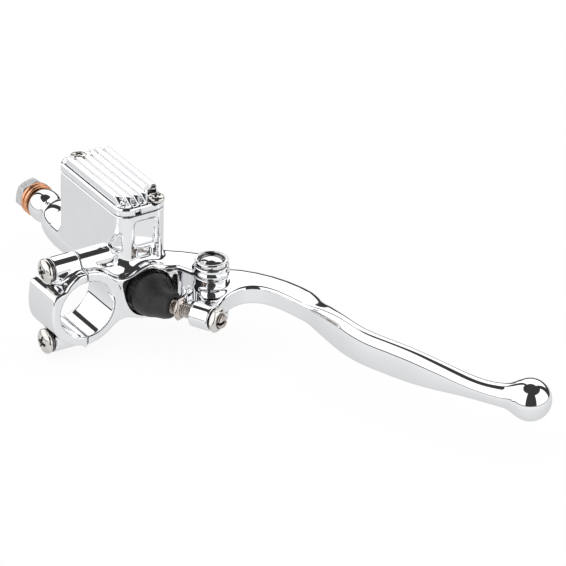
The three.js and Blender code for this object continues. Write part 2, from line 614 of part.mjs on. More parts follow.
function adjusterScrew() {
  const slot = new THREE.BoxGeometry(2.9, 12, 1).translate(29.55, 0, 0);
  slot.rotateX(ADJUSTER_SPIN);
  slot.rotateZ(ADJUSTER_ANGLE);
  slot.translate(ADJUSTER_X, CYLINDER_Y, 0);
  const screw = cut(turn(ADJUSTER_SCREW, onAdjuster(0), ADJUSTER, 20), toSolid(slot));
  piece('adjuster_screw', screw, zinc({ roughness: 0.3 }));
}

function adjusterNut(place, along, acrossFlats) {
  const nut = cut(hex(acrossFlats, onAdjuster(along), ADJUSTER, 3.4, ADJUSTER_SPIN, 0.5),
    rod(3.15, onAdjuster(along - 2), ADJUSTER, 9, 20));
  piece('adjuster_nut_' + place, nut, zinc({ roughness: 0.3 }));
}

// ---------- assembly ----------
masterCylinderBody();
clampCap();
for (const screw of CLAMP_SCREWS) {
  clampWasher(screw);
  clampScrew(screw);
}
reservoirDiaphragm();
diaphragmPlate();
reservoirCover();
COVER_SCREWS.forEach(coverScrew);
copperWasher('inner', OUTLET_X - OUTLET_GAP);
copperWasher('outer', OUTLET_X - OUTLET_GAP - COPPER_PITCH);
banjoBolt();
pistonAndCups();
pistonRetainers();
returnSpring();
dustBoot();
brakeLever();
pivotBush();
pivotBolt();
adjusterScrew();
adjusterNut('inner', 6.9, 8.6);
adjusterNut('outer', 24.4, 9.4);

export default part;
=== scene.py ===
"""A chromed handlebar brake master cylinder with its reservoir, clamp and hand lever.

Shapes are drawn in millimetres from the handlebar axis, which runs along X at y = 0, z = 0.
The cylinder lies parallel to it at y = CYL_Y, z = 0, with its mouth at x = 0 and its outlet at
the -X end. The reservoir stands on top (+Z), the clamp cap is on the -Y side and the lever
reaches out towards +X and +Y. OFFSET carries the shapes into the shared frame.
Most pieces are distance fields (negative inside), turned into meshes by field_mesh.
"""
import bpy
import json
import math
import numpy as np
from mathutils import Matrix, Vector


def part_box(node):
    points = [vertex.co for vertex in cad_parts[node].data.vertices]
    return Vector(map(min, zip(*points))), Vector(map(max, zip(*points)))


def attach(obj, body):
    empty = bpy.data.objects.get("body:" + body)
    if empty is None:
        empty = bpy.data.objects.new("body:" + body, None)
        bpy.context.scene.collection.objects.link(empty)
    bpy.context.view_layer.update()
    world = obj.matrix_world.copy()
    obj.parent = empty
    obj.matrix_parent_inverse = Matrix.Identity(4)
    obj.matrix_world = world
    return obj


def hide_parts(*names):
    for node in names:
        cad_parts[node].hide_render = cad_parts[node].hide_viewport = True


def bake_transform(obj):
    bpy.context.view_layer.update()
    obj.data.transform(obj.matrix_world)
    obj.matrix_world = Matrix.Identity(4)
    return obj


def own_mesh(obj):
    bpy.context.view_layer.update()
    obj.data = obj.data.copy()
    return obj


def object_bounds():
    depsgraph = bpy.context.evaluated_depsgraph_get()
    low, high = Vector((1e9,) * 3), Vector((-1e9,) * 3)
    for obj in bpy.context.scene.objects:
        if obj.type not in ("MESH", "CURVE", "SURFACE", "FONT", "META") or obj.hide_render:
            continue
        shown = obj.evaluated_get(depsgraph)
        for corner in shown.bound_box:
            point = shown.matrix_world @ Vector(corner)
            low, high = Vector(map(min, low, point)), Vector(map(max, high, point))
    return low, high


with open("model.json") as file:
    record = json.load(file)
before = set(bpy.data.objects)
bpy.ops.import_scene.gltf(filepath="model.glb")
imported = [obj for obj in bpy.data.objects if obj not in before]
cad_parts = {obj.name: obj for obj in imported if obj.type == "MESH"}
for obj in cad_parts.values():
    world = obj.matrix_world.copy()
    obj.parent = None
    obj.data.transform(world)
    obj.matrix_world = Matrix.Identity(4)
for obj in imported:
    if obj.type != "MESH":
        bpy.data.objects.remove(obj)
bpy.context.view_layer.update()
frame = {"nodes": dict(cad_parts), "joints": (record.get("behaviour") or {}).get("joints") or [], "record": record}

MM = 0.001
COARSE = 1.0         # grows every grid step

# ------------------------------------------------------------------ sizes and places (mm)
BAR_R, CLAMP_R = 12.7, 16.5
OFFSET = np.array([0.0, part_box("clamp_cap")[0][1] / MM + CLAMP_R, 0.0])


def span(node_name):
    low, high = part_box(node_name)
    return np.array(low) / MM - OFFSET, np.array(high) / MM - OFFSET


def centre(node_name):
    low, high = span(node_name)
    return (low + high) / 2


CLAMP_W = -span("clamp_cap")[0][0]
RES_LOW, RES_HIGH = span("reservoir_cover")
RES_X0, RES_Y0, LID_Z0 = RES_LOW            # the reservoir shares its lid's plan
RES_X1, RES_Y1, LID_TOP = RES_HIGH
RES_TOP = 34.6
LID_Z1 = LID_Z0 + 3.55                      # lid plate top, below the ribs
PIVOT_X, PIVOT_Y, _ = centre("pivot_bolt")
CYL_Y = centre("copper_washer_inner")[1]
RING_GAP = 0.12
NECK_X = span("copper_washer_inner")[1][0] + RING_GAP
RING_PITCH = 2.22                           # from one copper ring to the next, and to the bolt head
SEAT_Y = span("clamp_washer_upper")[1][1] + 0.15
SPLIT_GAP = 0.16                            # each clamp half stops this far from y = 0
EAR_R, EAR_Z, EAR_T = 7.3, 8.6, 4.4         # pivot ears: radius, inner face z, thickness
ARM_TOP_Z = 10.8
HUB_H, LEVER_H = 8.25, 4.25                 # half heights of the lever's hub and plate

BOLT_X, _, UPPER_Z = centre("clamp_screw_upper")
LOWER_Z = centre("clamp_screw_lower")[2]
BOLT_HOLE_R = 3.0
# name, z, boss radius, boss end y, boss rounding, hole end y, screw length, screw turn (rad)
CLAMP_BOLTS = [("upper", UPPER_Z, 5.3, 17.8, 3.4, 12.5, 22.0, 0.5),
               ("lower", LOWER_Z, 5.2, 9.6, 3.2, 7.2, 16.5, -0.2)]

# name, x, y, seat z, opening in the ribs (x0, x1, y0, y1), screw turn (rad)
LID_SCREWS = [("inboard", -53.4, 26.6, 38.3, (-62, -53.4, 26.6 - 3.4, 26.6 + 3.4), 0.4),
              ("outboard", -8.2, 37.0, 37.3, (-8.2, 3, 37.0 - 3.6, 50), 0.9)]

# the push screw lies in the XY plane, through the lever's threaded boss
PUSH_ANGLE = math.radians(27.5)
PUSH_X = 10.5
PUSH_AXIS = np.array([math.cos(PUSH_ANGLE), math.sin(PUSH_ANGLE), 0.0])


def push_point(along):
    return np.array([PUSH_X, CYL_Y, 0.0]) + along * PUSH_AXIS


# ------------------------------------------------------------------ distance fields
def join(a, b, blend):
    """Smooth union."""
    part = np.clip(0.5 + 0.5 * (b - a) / blend, 0, 1)
    return b + (a - b) * part - blend * part * (1 - part)


def meet(a, b, blend):
    """Smooth intersection."""
    return -join(-a, -b, blend)


def cut(field, hole, blend):
    """The field with the hole smoothly taken out."""
    return -join(-field, hole, blend)


def within(value, start, end, radius):
    return np.abs(value - (start + end) / 2) - (end - start) / 2 + radius


def round_corner(a, b, radius):
    return (np.minimum(np.maximum(a, b), 0)
            + np.hypot(np.maximum(a, 0), np.maximum(b, 0)) - radius)


def prism(plan, z, start, end, radius=0.0):
    """A 2-D field pulled along z from start to end, with all its edges rounded by radius."""
    return round_corner(plan + radius, within(z, start, end, radius), radius)


def rounded_rect(x, y, x0, x1, y0, y1, radius):
    return round_corner(within(x, x0, x1, radius), within(y, y0, y1, radius), radius)


def circle(x, y, radius, centre_x=0.0, centre_y=0.0):
    return np.hypot(x - centre_x, y - centre_y) - radius


def hexagon(x, y, across_flats):
    slants = np.maximum(np.abs(0.5 * x + 0.8660254 * y), np.abs(0.5 * x - 0.8660254 * y))
    return np.maximum(np.abs(x), slants) - across_flats / 2


def droop(field, z, top, edge, width, limit, spread):
    """Curves the top down within width of the outline whose field is edge."""
    drop = np.clip(edge + width, 0, limit) ** 2 / spread
    return meet(field, (z - top + drop) * 0.93, 0.3)


def local(points, origin, axis, spin=0.0):
    """Coordinates of the points in a frame at origin, with its z along axis."""
    axis_z = np.array(axis, float) / np.linalg.norm(axis)
    helper = np.array([0, 0, 1.0]) if abs(axis_z[2]) < 0.9 else np.array([1.0, 0, 0])
    axis_x = np.cross(helper, axis_z)
    axis_x /= np.linalg.norm(axis_x)
    axis_y = np.cross(axis_z, axis_x)
    cos, sin = math.cos(spin), math.sin(spin)
    axis_x, axis_y = cos * axis_x + sin * axis_y, -sin * axis_x + cos * axis_y
    offset = points - np.array(origin, float)
    return offset @ axis_x, offset @ axis_y, offset @ axis_z


def curve(points, per_span):
    """Closed Catmull-Rom curve; a point given as (x, y, 1) is a sharp corner."""
    count = len(points)
    out = []
    for i in range(count):
        before, start, end, after = (points[(i + k) % count] for k in (-1, 0, 1, 2))
        if len(start) > 2:
            before = start
        if len(end) > 2:
            after = end
        before, start, end, after = (np.array(p[:2], float) for p in (before, start, end, after))
        for j in range(per_span):
            t = j / per_span
            out.append(0.5 * ((2 * start) + (end - before) * t
                              + (2 * before - 5 * start + 4 * end - after) * t * t
                              + (3 * start - before - 3 * end + after) * t ** 3))
    return np.array(out)


def arc(centre_x, centre_y, radius, start, end, steps):
    angles = [start + (end - start) * i / steps for i in range(steps + 1)]
    return [(centre_x + radius * math.cos(a), centre_y + radius * math.sin(a)) for a in angles]


def polygon_distance(x, y, points):
    nearest = np.full(x.shape, 1e9)             # squared
    outside = np.ones(x.shape, bool)
    for i in range(len(points)):
        (x0, y0), (x1, y1) = points[i], points[i - 1]
        edge_x, edge_y = x1 - x0, y1 - y0
        length2 = edge_x * edge_x + edge_y * edge_y
        if length2 < 1e-12:
            continue
        dx, dy = x - x0, y - y0
        t = np.clip((dx * edge_x + dy * edge_y) / length2, 0, 1)
        nearest = np.minimum(nearest, (dx - edge_x * t) ** 2 + (dy - edge_y * t) ** 2)
        above, below, left = y >= y0, y < y1, edge_x * dy > edge_y * dx
        outside ^= (above & below & left) | (~above & ~below & ~left)
    return np.where(outside, 1.0, -1.0) * np.sqrt(nearest)


class Table:
    """2-D values stored on a fine grid and read back smoothly.

    The distance beyond the grid is added to a single value, or returned after several.
    """

    def __init__(self, make, low, high, step):
        self.low, self.step = low, step
        x, y = (low[k] + step * np.arange(int((high[k] - low[k]) / step) + 2) for k in (0, 1))
        values = np.array(make(*np.meshgrid(x, y, indexing="ij")), float)
        self.values = values if values.ndim == 3 else values[None]

    def __call__(self, x, y):
        grid_x, grid_y = (x - self.low[0]) / self.step, (y - self.low[1]) / self.step
        values = self.values
        rows, columns = values.shape[1:]
        near_x, near_y = np.clip(grid_x, 0, rows - 1.001), np.clip(grid_y, 0, columns - 1.001)
        i, j = near_x.astype(int), near_y.astype(int)
        x, y = near_x - i, near_y - j
        read = (values[:, i, j] * (1 - x) * (1 - y) + values[:, i + 1, j] * x * (1 - y)
                + values[:, i, j + 1] * (1 - x) * y + values[:, i + 1, j + 1] * x * y)
        beyond = np.hypot(grid_x - near_x, grid_y - near_y) * self.step
        return np.concatenate([read, beyond[None]]) if len(read) > 1 else read[0] + beyond


def outline(points):
    """Distance table of a polygon, reaching 5 mm past it."""
    points = np.array(points, float)
    return Table(lambda x, y: polygon_distance(x, y, points),
                 points.min(0) - 5, points.max(0) + 5, 0.2)


def curve_outline(points, per_span=6):
    return outline(curve(points, per_span))


# ------------------------------------------------------------------ field to mesh
BLOCK = 8                                   # grid cells along a block's side
PADDING = 2.3                               # grid steps left around a piece
CHUNK = 400000                              # points evaluated at a time
CORNERS = [(x, y, z) for x in (0, 1) for y in (0, 1) for z in (0, 1)]
TETRAHEDRON = np.array([[1, -1, -1], [-1, -1, 1], [-1, 1, -1], [1, 1, 1]], float)


def shifted(array, corner, size):
    """The view of size cells that starts at corner."""
    return array[tuple(slice(c, c + n) for c, n in zip(corner, size))]


def sample(field, low, high, step):
    """Grid origin, cell counts and values; far from the surface only the sign is right."""
    low = np.array(low, float) - PADDING * step
    reach = np.array(high, float) + PADDING * step - low
    blocks = np.maximum(1, np.ceil(reach / step / BLOCK).astype(int))
    index = np.stack(np.meshgrid(*[np.arange(n) for n in blocks], indexing="ij"), -1)
    middle = field(low + (index.reshape(-1, 3) + 0.5) * BLOCK * step).reshape(blocks)

    def to_cells(array):
        return array.repeat(BLOCK, 0).repeat(BLOCK, 1).repeat(BLOCK, 2)

    near = to_cells(np.abs(middle) < step * BLOCK * 0.87 * 1.5 + 0.3)
    size = blocks * BLOCK
    values = np.ones(size + 1, np.float32)
    values[:-1, :-1, :-1] = to_cells(np.where(middle < 0, -1.0, 1.0).astype(np.float32))
    values[-1], values[:, -1], values[:, :, -1] = values[-2], values[:, -2], values[:, :, -2]
    wanted = np.zeros(size + 1, bool)
    for corner in CORNERS:
        view = shifted(wanted, corner, size)
        view |= near
    nodes = np.argwhere(wanted)
    exact = np.empty(len(nodes), np.float32)
    for start in range(0, len(nodes), CHUNK):
        exact[start:start + CHUNK] = field(low + nodes[start:start + CHUNK] * step)
    exact[exact == 0] = 1e-6                # keeps every node on one side
    values[wanted] = exact
    return low, size, values


def cell_points(values, cells):
    """Mean of the edge crossings in each cell, in grid units."""
    total, count = np.zeros((len(cells), 3)), np.zeros(len(cells))
    for corner in CORNERS:
        for axis in range(3):
            if corner[axis]:
                continue
            other = list(corner)
            other[axis] = 1
            here, there = values[tuple((cells + corner).T)], values[tuple((cells + other).T)]
            crosses = (here < 0) != (there < 0)
            t = np.where(crosses, here / np.where(crosses, here - there, 1), 0)
            begin = np.array(corner, float)
            point = begin + t[:, None] * (np.array(other, float) - begin)
            total += np.where(crosses[:, None], point, 0)
            count += crosses
    return cells + total / count[:, None]


def gradient(field, points, reach):
    total = np.zeros_like(points)
    for direction in TETRAHEDRON:
        total += direction * field(points + direction * reach)[:, None]
    return total / (4 * reach)


def snap(field, start, step):
    """Moves points onto the surface, by less than one grid step."""
    points = start.copy()
    for _ in range(3):
        slope = gradient(field, points, 0.12 * step)
        move = field(points) / np.maximum((slope * slope).sum(1), 0.05)
        points = points - np.clip(move, -0.5 * step, 0.5 * step)[:, None] * slope
        offset = points - start
        length = np.linalg.norm(offset, axis=1, keepdims=True)
        points = start + offset * np.minimum(1, 0.9 * step / np.maximum(length, 1e-9))
    return points


def surface_quads(inside, index):
    """One quad around every grid edge that crosses the surface, facing out."""
    size = index.shape
    quads = []
    for axis in range(3):
        second, third = [(1, 2), (2, 0), (0, 1)][axis]
        near = [slice(1, n) for n in size]
        near[axis] = slice(0, size[axis])
        far = list(near)
        far[axis] = slice(1, size[axis] + 1)
        near_inside = inside[tuple(near)]
        edges = np.argwhere(near_inside != inside[tuple(far)])
        flip = ~near_inside[tuple(edges.T)]
        base = edges + np.array([0 if k == axis else 1 for k in range(3)])
        corners = []
        for d_second, d_third in ((-1, -1), (0, -1), (0, 0), (-1, 0)):
            cell = base.copy()
            cell[:, second] += d_second
            cell[:, third] += d_third
            corners.append(index[tuple(cell.T)])
        found = np.stack(corners, 1)
        found[flip] = found[flip][:, ::-1]
        quads.append(found)
    return np.concatenate(quads)


def field_mesh(name, field, low, high, step, crease):
    """Closed quad mesh on field = 0; normals are read from the field over the crease reach."""
    step *= COARSE
    low, size, values = sample(field, low, high, step)
    inside = values < 0
    count = np.zeros(size, np.int8)
    for corner in CORNERS:
        count += shifted(inside, corner, size)
    cells = np.argwhere((count > 0) & (count < 8))
    index = np.full(size, -1, np.int64)
    index[tuple(cells.T)] = np.arange(len(cells))
    points = snap(field, low + cell_points(values, cells) * step, step)
    normals = gradient(field, points, crease)
    normals /= np.maximum(np.linalg.norm(normals, axis=1, keepdims=True), 1e-9)
    return mesh_object(name, points, surface_quads(inside, index), normals)


def mesh_object(name, points, quads, normals=None):
    mesh = bpy.data.meshes.new(name)
    mesh.vertices.add(len(points))
    mesh.vertices.foreach_set("co", np.asarray((points + OFFSET) * MM, np.float32).ravel())
    mesh.loops.add(quads.size)
    mesh.loops.foreach_set("vertex_index", quads.astype(np.int32).ravel())
    mesh.polygons.add(len(quads))
    mesh.polygons.foreach_set("loop_start", np.arange(0, quads.size, 4, dtype=np.int32))
    mesh.polygons.foreach_set("use_smooth", np.ones(len(quads), bool))
    mesh.update(calc_edges=True)
    mesh.validate()
    if normals is not None:
        mesh.normals_split_custom_set_from_vertices(normals.astype(np.float32))
    return link(name, mesh)


def link(name, data):
    made = bpy.data.objects.new(name, data)
    bpy.context.scene.collection.objects.link(made)
    return made


# ------------------------------------------------------------------ materials
def feed(tree, target, inputs):
    """Gives each named input a value, or links it to the socket given."""
    for key, value in inputs.items():
        if isinstance(value, bpy.types.NodeSocket):
            tree.links.new(value, target.inputs[key])
        else:
            target.inputs[key].default_value = value


def node(tree, kind, inputs=None, **settings):
    made = tree.nodes.new(kind)
    for key, value in settings.items():
        setattr(made, key, value)
    feed(tree, made, inputs or {})
    return made


class Look:
    """A Principled material in the making, textured in object coordinates."""

    def __init__(self, name):
        self.material = bpy.data.materials.new(name)
        self.material.use_nodes = True
        self.tree = self.material.node_tree
        self.coords = node(self.tree, "ShaderNodeTexCoord").outputs["Object"]

    def set(self, key, value):
        feed(self.tree, self.tree.nodes["Principled BSDF"], {key: value})

    def noise(self, scale, detail, rough=0.5, stretch=None):
        coords = self.coords
        if stretch:
            coords = node(self.tree, "ShaderNodeMapping",
                          {"Scale": stretch, "Vector": coords}).outputs["Vector"]
        return node(self.tree, "ShaderNodeTexNoise", {
            "Scale": scale, "Detail": detail, "Roughness": rough,
            "Vector": coords}).outputs["Fac"]

    def ranged(self, source, to, source_range=(0.3, 0.7)):
        return node(self.tree, "ShaderNodeMapRange", {
            "From Min": source_range[0], "From Max": source_range[1],
            "To Min": to[0], "To Max": to[1], "Value": source}).outputs["Result"]

    def ramp(self, source, dark, light):
        made = node(self.tree, "ShaderNodeValToRGB", {"Fac": source})
        for stop, position, color in zip(made.color_ramp.elements, (0.3, 0.7), (dark, light)):
            stop.position = position
            stop.color = (*color, 1)
        return made.outputs["Color"]

    def bump(self, source, height_mm, strength):
        self.set("Normal", node(self.tree, "ShaderNodeBump", {
            "Strength": strength, "Distance": height_mm * MM,
            "Height": source}).outputs["Normal"])

    def painted_crease_shade(self, color, reach_mm, lowest):
        """Base colour with painted shade, darkened to lowest in grooves and recesses by ambient occlusion."""
        # painted shade: occlusion darkens the colour where nearby geometry would block light
        occlusion = node(self.tree, "ShaderNodeAmbientOcclusion",
                         {"Distance": reach_mm * MM}, samples=8)
        shade = self.ranged(occlusion.outputs["AO"], (lowest, 1.0), (0.25, 0.85))
        self.set("Base Color", node(
            self.tree, "ShaderNodeMixRGB", {"Fac": 1.0, "Color1": color, "Color2": shade},
            blend_type="MULTIPLY").outputs["Color"])


def metal(name, dark, light, rough, scale, bump_mm, stretch=None, darkest_crease_shade=0.3):
    """Metal with a blotchy tint, painted shade in its creases, and a finer grain that drives roughness and bump.
    """
    look = Look(name)
    look.set("Metallic", 1.0)
    tint = look.noise(scale, detail=4)
    # painted shade: the tint darkens in creases and recesses, down to the lowest value given
    look.painted_crease_shade(look.ramp(tint, dark, light), reach_mm=2.2, lowest=darkest_crease_shade)
    grain = look.noise(scale * 6, detail=5, rough=0.6, stretch=stretch)
    look.set("Roughness", look.ranged(grain, rough))
    look.bump(grain, bump_mm, strength=0.6)
    return look.material


def chrome_material():
    look = Look("chrome_plate")
    look.set("Metallic", 1.0)
    tint = look.ramp(look.noise(60, detail=2),
                     dark=(0.905, 0.91, 0.925), light=(0.945, 0.945, 0.95))
    # painted shade: the chrome's colour darkens in tight creases and in the gaps between parts
    look.painted_crease_shade(tint, reach_mm=0.9, lowest=0.55)
    # faint haze patches and hair-fine polishing marks
    haze = look.noise(220, detail=4, rough=0.6)
    fine = look.noise(900, detail=3, rough=0.7, stretch=(1.0, 1.0, 6.0))
    both = node(look.tree, "ShaderNodeMath", {0: haze, 1: fine}, operation="MULTIPLY").outputs[0]
    look.set("Roughness", look.ranged(both, (0.025, 0.075), source_range=(0.12, 0.45)))
    # the slow waviness of a hand-polished casting
    look.bump(look.noise(75, detail=1.5, rough=0.4), height_mm=0.1, strength=0.55)
    return look.material


def rubber_material():
    look = Look("black_rubber_look")
    look.set("Base Color", look.ramp(look.noise(240, detail=4),
                                     dark=(0.012, 0.012, 0.013), light=(0.028, 0.028, 0.030)))
    grain = look.noise(2600, detail=3, rough=0.6)
    look.set("Roughness", look.ranged(grain, (0.42, 0.6)))
    look.set("Specular IOR Level", 0.45)
    look.bump(grain, height_mm=0.12, strength=0.5)
    return look.material


def plastic_material():
    look = Look("white_plastic_look")
    mottle = look.noise(300, detail=3)
    look.set("Base Color", look.ramp(mottle, dark=(0.74, 0.73, 0.69), light=(0.80, 0.79, 0.75)))
    look.set("Roughness", look.ranged(mottle, (0.4, 0.55)))
    look.bump(mottle, height_mm=0.05, strength=0.4)
    return look.material


CHROME = chrome_material()
NICKEL = metal("warm_plated_steel", dark=(0.70, 0.66, 0.62), light=(0.84, 0.82, 0.79),
               rough=(0.07, 0.16), scale=500, bump_mm=0.012, darkest_crease_shade=0.12)
BROWNED = metal("heat_tinted_nickel", dark=(0.46, 0.38, 0.34), light=(0.74, 0.68, 0.63),
                rough=(0.08, 0.18), scale=650, bump_mm=0.015, darkest_crease_shade=0.12)
POLISHED = metal("polished_pivot_steel", dark=(0.78, 0.77, 0.76), light=(0.88, 0.875, 0.87),
                 rough=(0.03, 0.08), scale=420, bump_mm=0.004, darkest_crease_shade=0.2)
LOCK = metal("dark_spring_steel", dark=(0.10, 0.10, 0.10), light=(0.22, 0.21, 0.20),
             rough=(0.22, 0.38), scale=600, bump_mm=0.02)
ZINC = metal("dull_zinc", dark=(0.60, 0.60, 0.61), light=(0.76, 0.76, 0.77),
             rough=(0.26, 0.44), scale=420, bump_mm=0.03, stretch=(1.0, 7.0, 1.0), darkest_crease_shade=0.4)
STEEL = metal("turned_steel", dark=(0.58, 0.58, 0.59), light=(0.72, 0.72, 0.72),
              rough=(0.16, 0.30), scale=420, bump_mm=0.01)
COPPER = metal("soft_copper", dark=(0.80, 0.33, 0.16), light=(0.93, 0.50, 0.30),
               rough=(0.20, 0.34), scale=420, bump_mm=0.02)
BRONZE = metal("bearing_bronze_look", dark=(0.55, 0.42, 0.20), light=(0.68, 0.55, 0.30),
               rough=(0.28, 0.42), scale=500, bump_mm=0.02)
RUBBER = rubber_material()
PLASTIC = plastic_material()

BY_SLOT = {"chromed_casting": CHROME, "zinc_steel": NICKEL, "steel": STEEL, "copper": COPPER,
           "bearing_bronze": BRONZE, "black_rubber": RUBBER, "diaphragm_plate": PLASTIC}
SLOT_OF = {part["node"]: part["material_slot"] for part in frame["record"]["subparts"]}
BODY_OF = {name: body for body, names in frame["record"]["behaviour"]["bodies"].items()
           for name in names}
for name, cad_piece in frame["nodes"].items():
    cad_piece.data.materials.clear()
    cad_piece.data.materials.append(BY_SLOT[SLOT_OF[name]])


def build(name, field, node_name, step, material, crease=0.2):
    """Meshes a field within its CAD piece's box and puts it in that piece's place."""
    low, high = span(node_name)
    made = field_mesh(name, field, low - 0.4, high + 0.4, step, crease)
    made.data.materials.append(material)
    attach(made, BODY_OF[node_name])
    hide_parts(node_name)


# ------------------------------------------------------------------ cast body
# clamp half and web, (y, z)
WEB = curve_outline([
    (-2, 14), (3.9, 15.6), (8.0, 13.9), (11.8, 11.4), (15.0, 9.8), (18.2, 9.3), (21.4, 9.9),
    (24.6, 11.2), (28.6, 12.2), (33, 11.6), (37, 8.6), (39.2, 4.5), (39.0, -4), (36, -8.8),
    (30.6, -11.0), (26.1, -10.5), (22.1, -9.7), (18, -9.2), (14, -10.3), (10.2, -12.8),
    (7.3, -14.3), (3.6, -15.6), (-2, -14)])
# fuller web away from the mouth, (y, z)
WEB_INNER = curve_outline([
    (2, 13.6), (6, 14.6), (10, 14.0), (14, 13.5), (20, 13.3), (30, 13.2), (38, 11.5), (38, -6),
    (30, -8), (15, -8), (2, -9)])
# turned profile of the barrel and outlet neck, (radius, -x)
BARREL = curve_outline([
    (-1, -1, 1), (11.8, -1, 1), (11.8, 8.6), (11.4, 11), (10.5, 13.2), (10.3, 15), (10.3, 60),
    (10.1, 66), (9.6, 70.6), (8.8, 73.8), (7.8, 76.0), (6.8, 77.7), (6.1, 78.9), (5.85, 80.0),
    (6.0, 81.1), (6.55, 82.5), (7.0, 84.2), (7.15, 86.0), (6.95, 87.8), (6.4, 89.3),
    (5.9, -NECK_X, 1), (-1, -NECK_X, 1)])
# pivot arm, (x, y): full height, upper flange, and the region its +Y edge bounds
ARM_EDGE = [(2.4, 56.6), (-2.6, 54.9), (-7.6, 49.8), (-12, 44.2), (-16, 40.5)]
ARM = curve_outline([(-14, 37.5), (-6, 39.2), (2.3, 41.4)]
                    + arc(PIVOT_X, PIVOT_Y, EAR_R, -1.6, 2.2, 12) + ARM_EDGE, 5)
ARM_FLANGE = curve_outline([
    (-16, 31.5), (-4, 31.0), (-0.5, 32.4), (0.4, 35.2), (1.8, 38.6), (3.7, 41.8)]
    + arc(PIVOT_X, PIVOT_Y, EAR_R, -1.7, 2.2, 12) + ARM_EDGE, 5)
ARM_REGION = outline([(-30, 22)] + ARM_EDGE[::-1] + arc(PIVOT_X, PIVOT_Y, EAR_R, 2.2, 0.6, 8)
                     + [(40, 50), (40, 10)])
# room for the lever between the ears, (x, y)
LEVER_SLOT = outline([(2.4, 28), (2.4, 43.4), (1.2, 47), (0.4, 52), (-1.2, 64), (-1.2, 72),
                      (40, 72), (40, 28)])
# pocket in the reservoir's -Y wall, (x, z)
POCKET = outline([(-17.4, 15.8), (-5.9, 19.2), (-5.9, 27.2), (-9.6, 25.2)])
# shallow recess around the cylinder mouth, (y, z)
RECESS_R = 10.5
RECESS = curve_outline(
    [(17.5, 6.2), (18.1, 7.9), (20.6, 8.7), (23.6, 9.2), (26.5, 10.0), (29.5, 10.5)]
    + [(CYL_Y + RECESS_R * math.cos(math.radians(t)), RECESS_R * math.sin(math.radians(t)))
       for t in (70, 45, 20, -5, -30, -55, -80, -105, -130, -152)]
    + [(18.9, -1.5), (17.9, 2.6)])
# holes on the cylinder axis: radius, start and end along -x
CYLINDER_HOLES = [(9.2, -5, 7.2), (6.6, -5, 72), (5.15, 60, 99)]
PIVOT_HOLE_R = 4.08


def arm_field(x, y, z):
    arm = prism(ARM(x, y), z, -EAR_Z - EAR_T, ARM_TOP_Z, 1.2)
    arm = join(arm, prism(ARM_FLANGE(x, y), z, 7.0, ARM_TOP_Z, 1.2), 1.6)
    arm = droop(arm, z, ARM_TOP_Z, ARM_REGION(x, y), width=3.0, limit=6, spread=14.0)
    ear = prism(circle(x, y, EAR_R, PIVOT_X, PIVOT_Y), z, 3.0, EAR_Z + EAR_T, 0.5)
    return join(arm, ear, 1.2)


def body_solid(x, y, z):
    solid = prism(circle(y, z, CLAMP_R), x, -CLAMP_W, 0, 1.0)
    solid = join(solid, prism(WEB(y, z), x, -CLAMP_W, 0, 1.0), 1.2)
    solid = join(solid, prism(WEB_INNER(y, z), x, -CLAMP_W + 1, -5.0, 2.0), 3.0)
    for _, bolt_z, boss_r, end_y, rounding, *_ in CLAMP_BOLTS:
        boss = prism(circle(x, z, boss_r, BOLT_X, bolt_z), y, -6, end_y, rounding)
        solid = join(solid, boss, 2.2)
    lift = 0.5 * np.clip((x + 17) / 8, 0, 1)    # the barrel rises slightly at its mouth
    solid = join(solid, BARREL(np.hypot(y - CYL_Y, z - lift), -x), 2.6)
    plan = rounded_rect(x, y, RES_X0, RES_X1, RES_Y0, RES_Y1, 6.0)
    solid = join(solid, prism(plan, z, 4.0, RES_TOP, 0.18), 2.6)
    solid = meet(solid, x, 0.7)
    return join(solid, arm_field(x, y, z), 2.2)


def body_field(points):
    x, y, z = points.T
    body = body_solid(x, y, z)
    body = meet(body, SPLIT_GAP - y, 0.08)
    body = cut(body, prism(LEVER_SLOT(x, y), z, -EAR_Z, EAR_Z, 0.5), 0.35)
    body = cut(body, prism(RECESS(y, z), -x, -5, 3.4, 1.0), 0.5)
    for radius, start, end in CYLINDER_HOLES:
        body = cut(body, prism(circle(y, z, radius, CYL_Y), -x, start, end), 0.3)
    pivot_hole = circle(x, y, PIVOT_HOLE_R, PIVOT_X, PIVOT_Y) + np.where(x < 2.0, 50, 0)
    body = cut(body, pivot_hole, 0.3)
    body = cut(body, circle(y, z, BAR_R), 0.5)
    for _, bolt_z, _, _, _, hole_end, *_ in CLAMP_BOLTS:
        hole = prism(circle(x, z, BOLT_HOLE_R, BOLT_X, bolt_z), y, -1, hole_end)
        body = cut(body, np.maximum(hole, 13.6 - np.hypot(y, z)), 0.05)
    body = cut(body, prism(POCKET(x, z), y, RES_Y0 - 3, RES_Y0 + 1.9, 0.3), 0.4)
    # plain panel and notch in the reservoir's +X wall
    panel = rounded_rect(y, z, 24.6, 35.4, 20.6, 31.6, 1.6)
    body = cut(body, prism(panel, x, RES_X1 - 0.12, RES_X1 + 3, 0.3), 0.5)
    notch = rounded_rect(y, z, 26.6, 32.6, 14.6, 18.4, 0.8)
    return cut(body, prism(notch, x, RES_X1 - 1.3, RES_X1 + 3, 0.2), 0.4)


# ------------------------------------------------------------------ clamp cap
# profile, (y, z)
CAP = curve_outline([
    (3, 16.2), (0, 16.5), (-4, 16.1), (-8, 13.6), (-9.8, 11.3), (-11.2, 10.45),
    (-12.6, 10.02), (-13.9, 9.55), (-15.0, 9.0), (-15.6, 8.4), (-15.95, 7.2), (-16.3, 3.8),
    (-16.5, 0), (-16.2, -3.6), (-15.2, -7.0), (-13.6, -9.6), (-11, -12.2), (-7, -14.9),
    (-3, -16.2), (3, -16.3)])


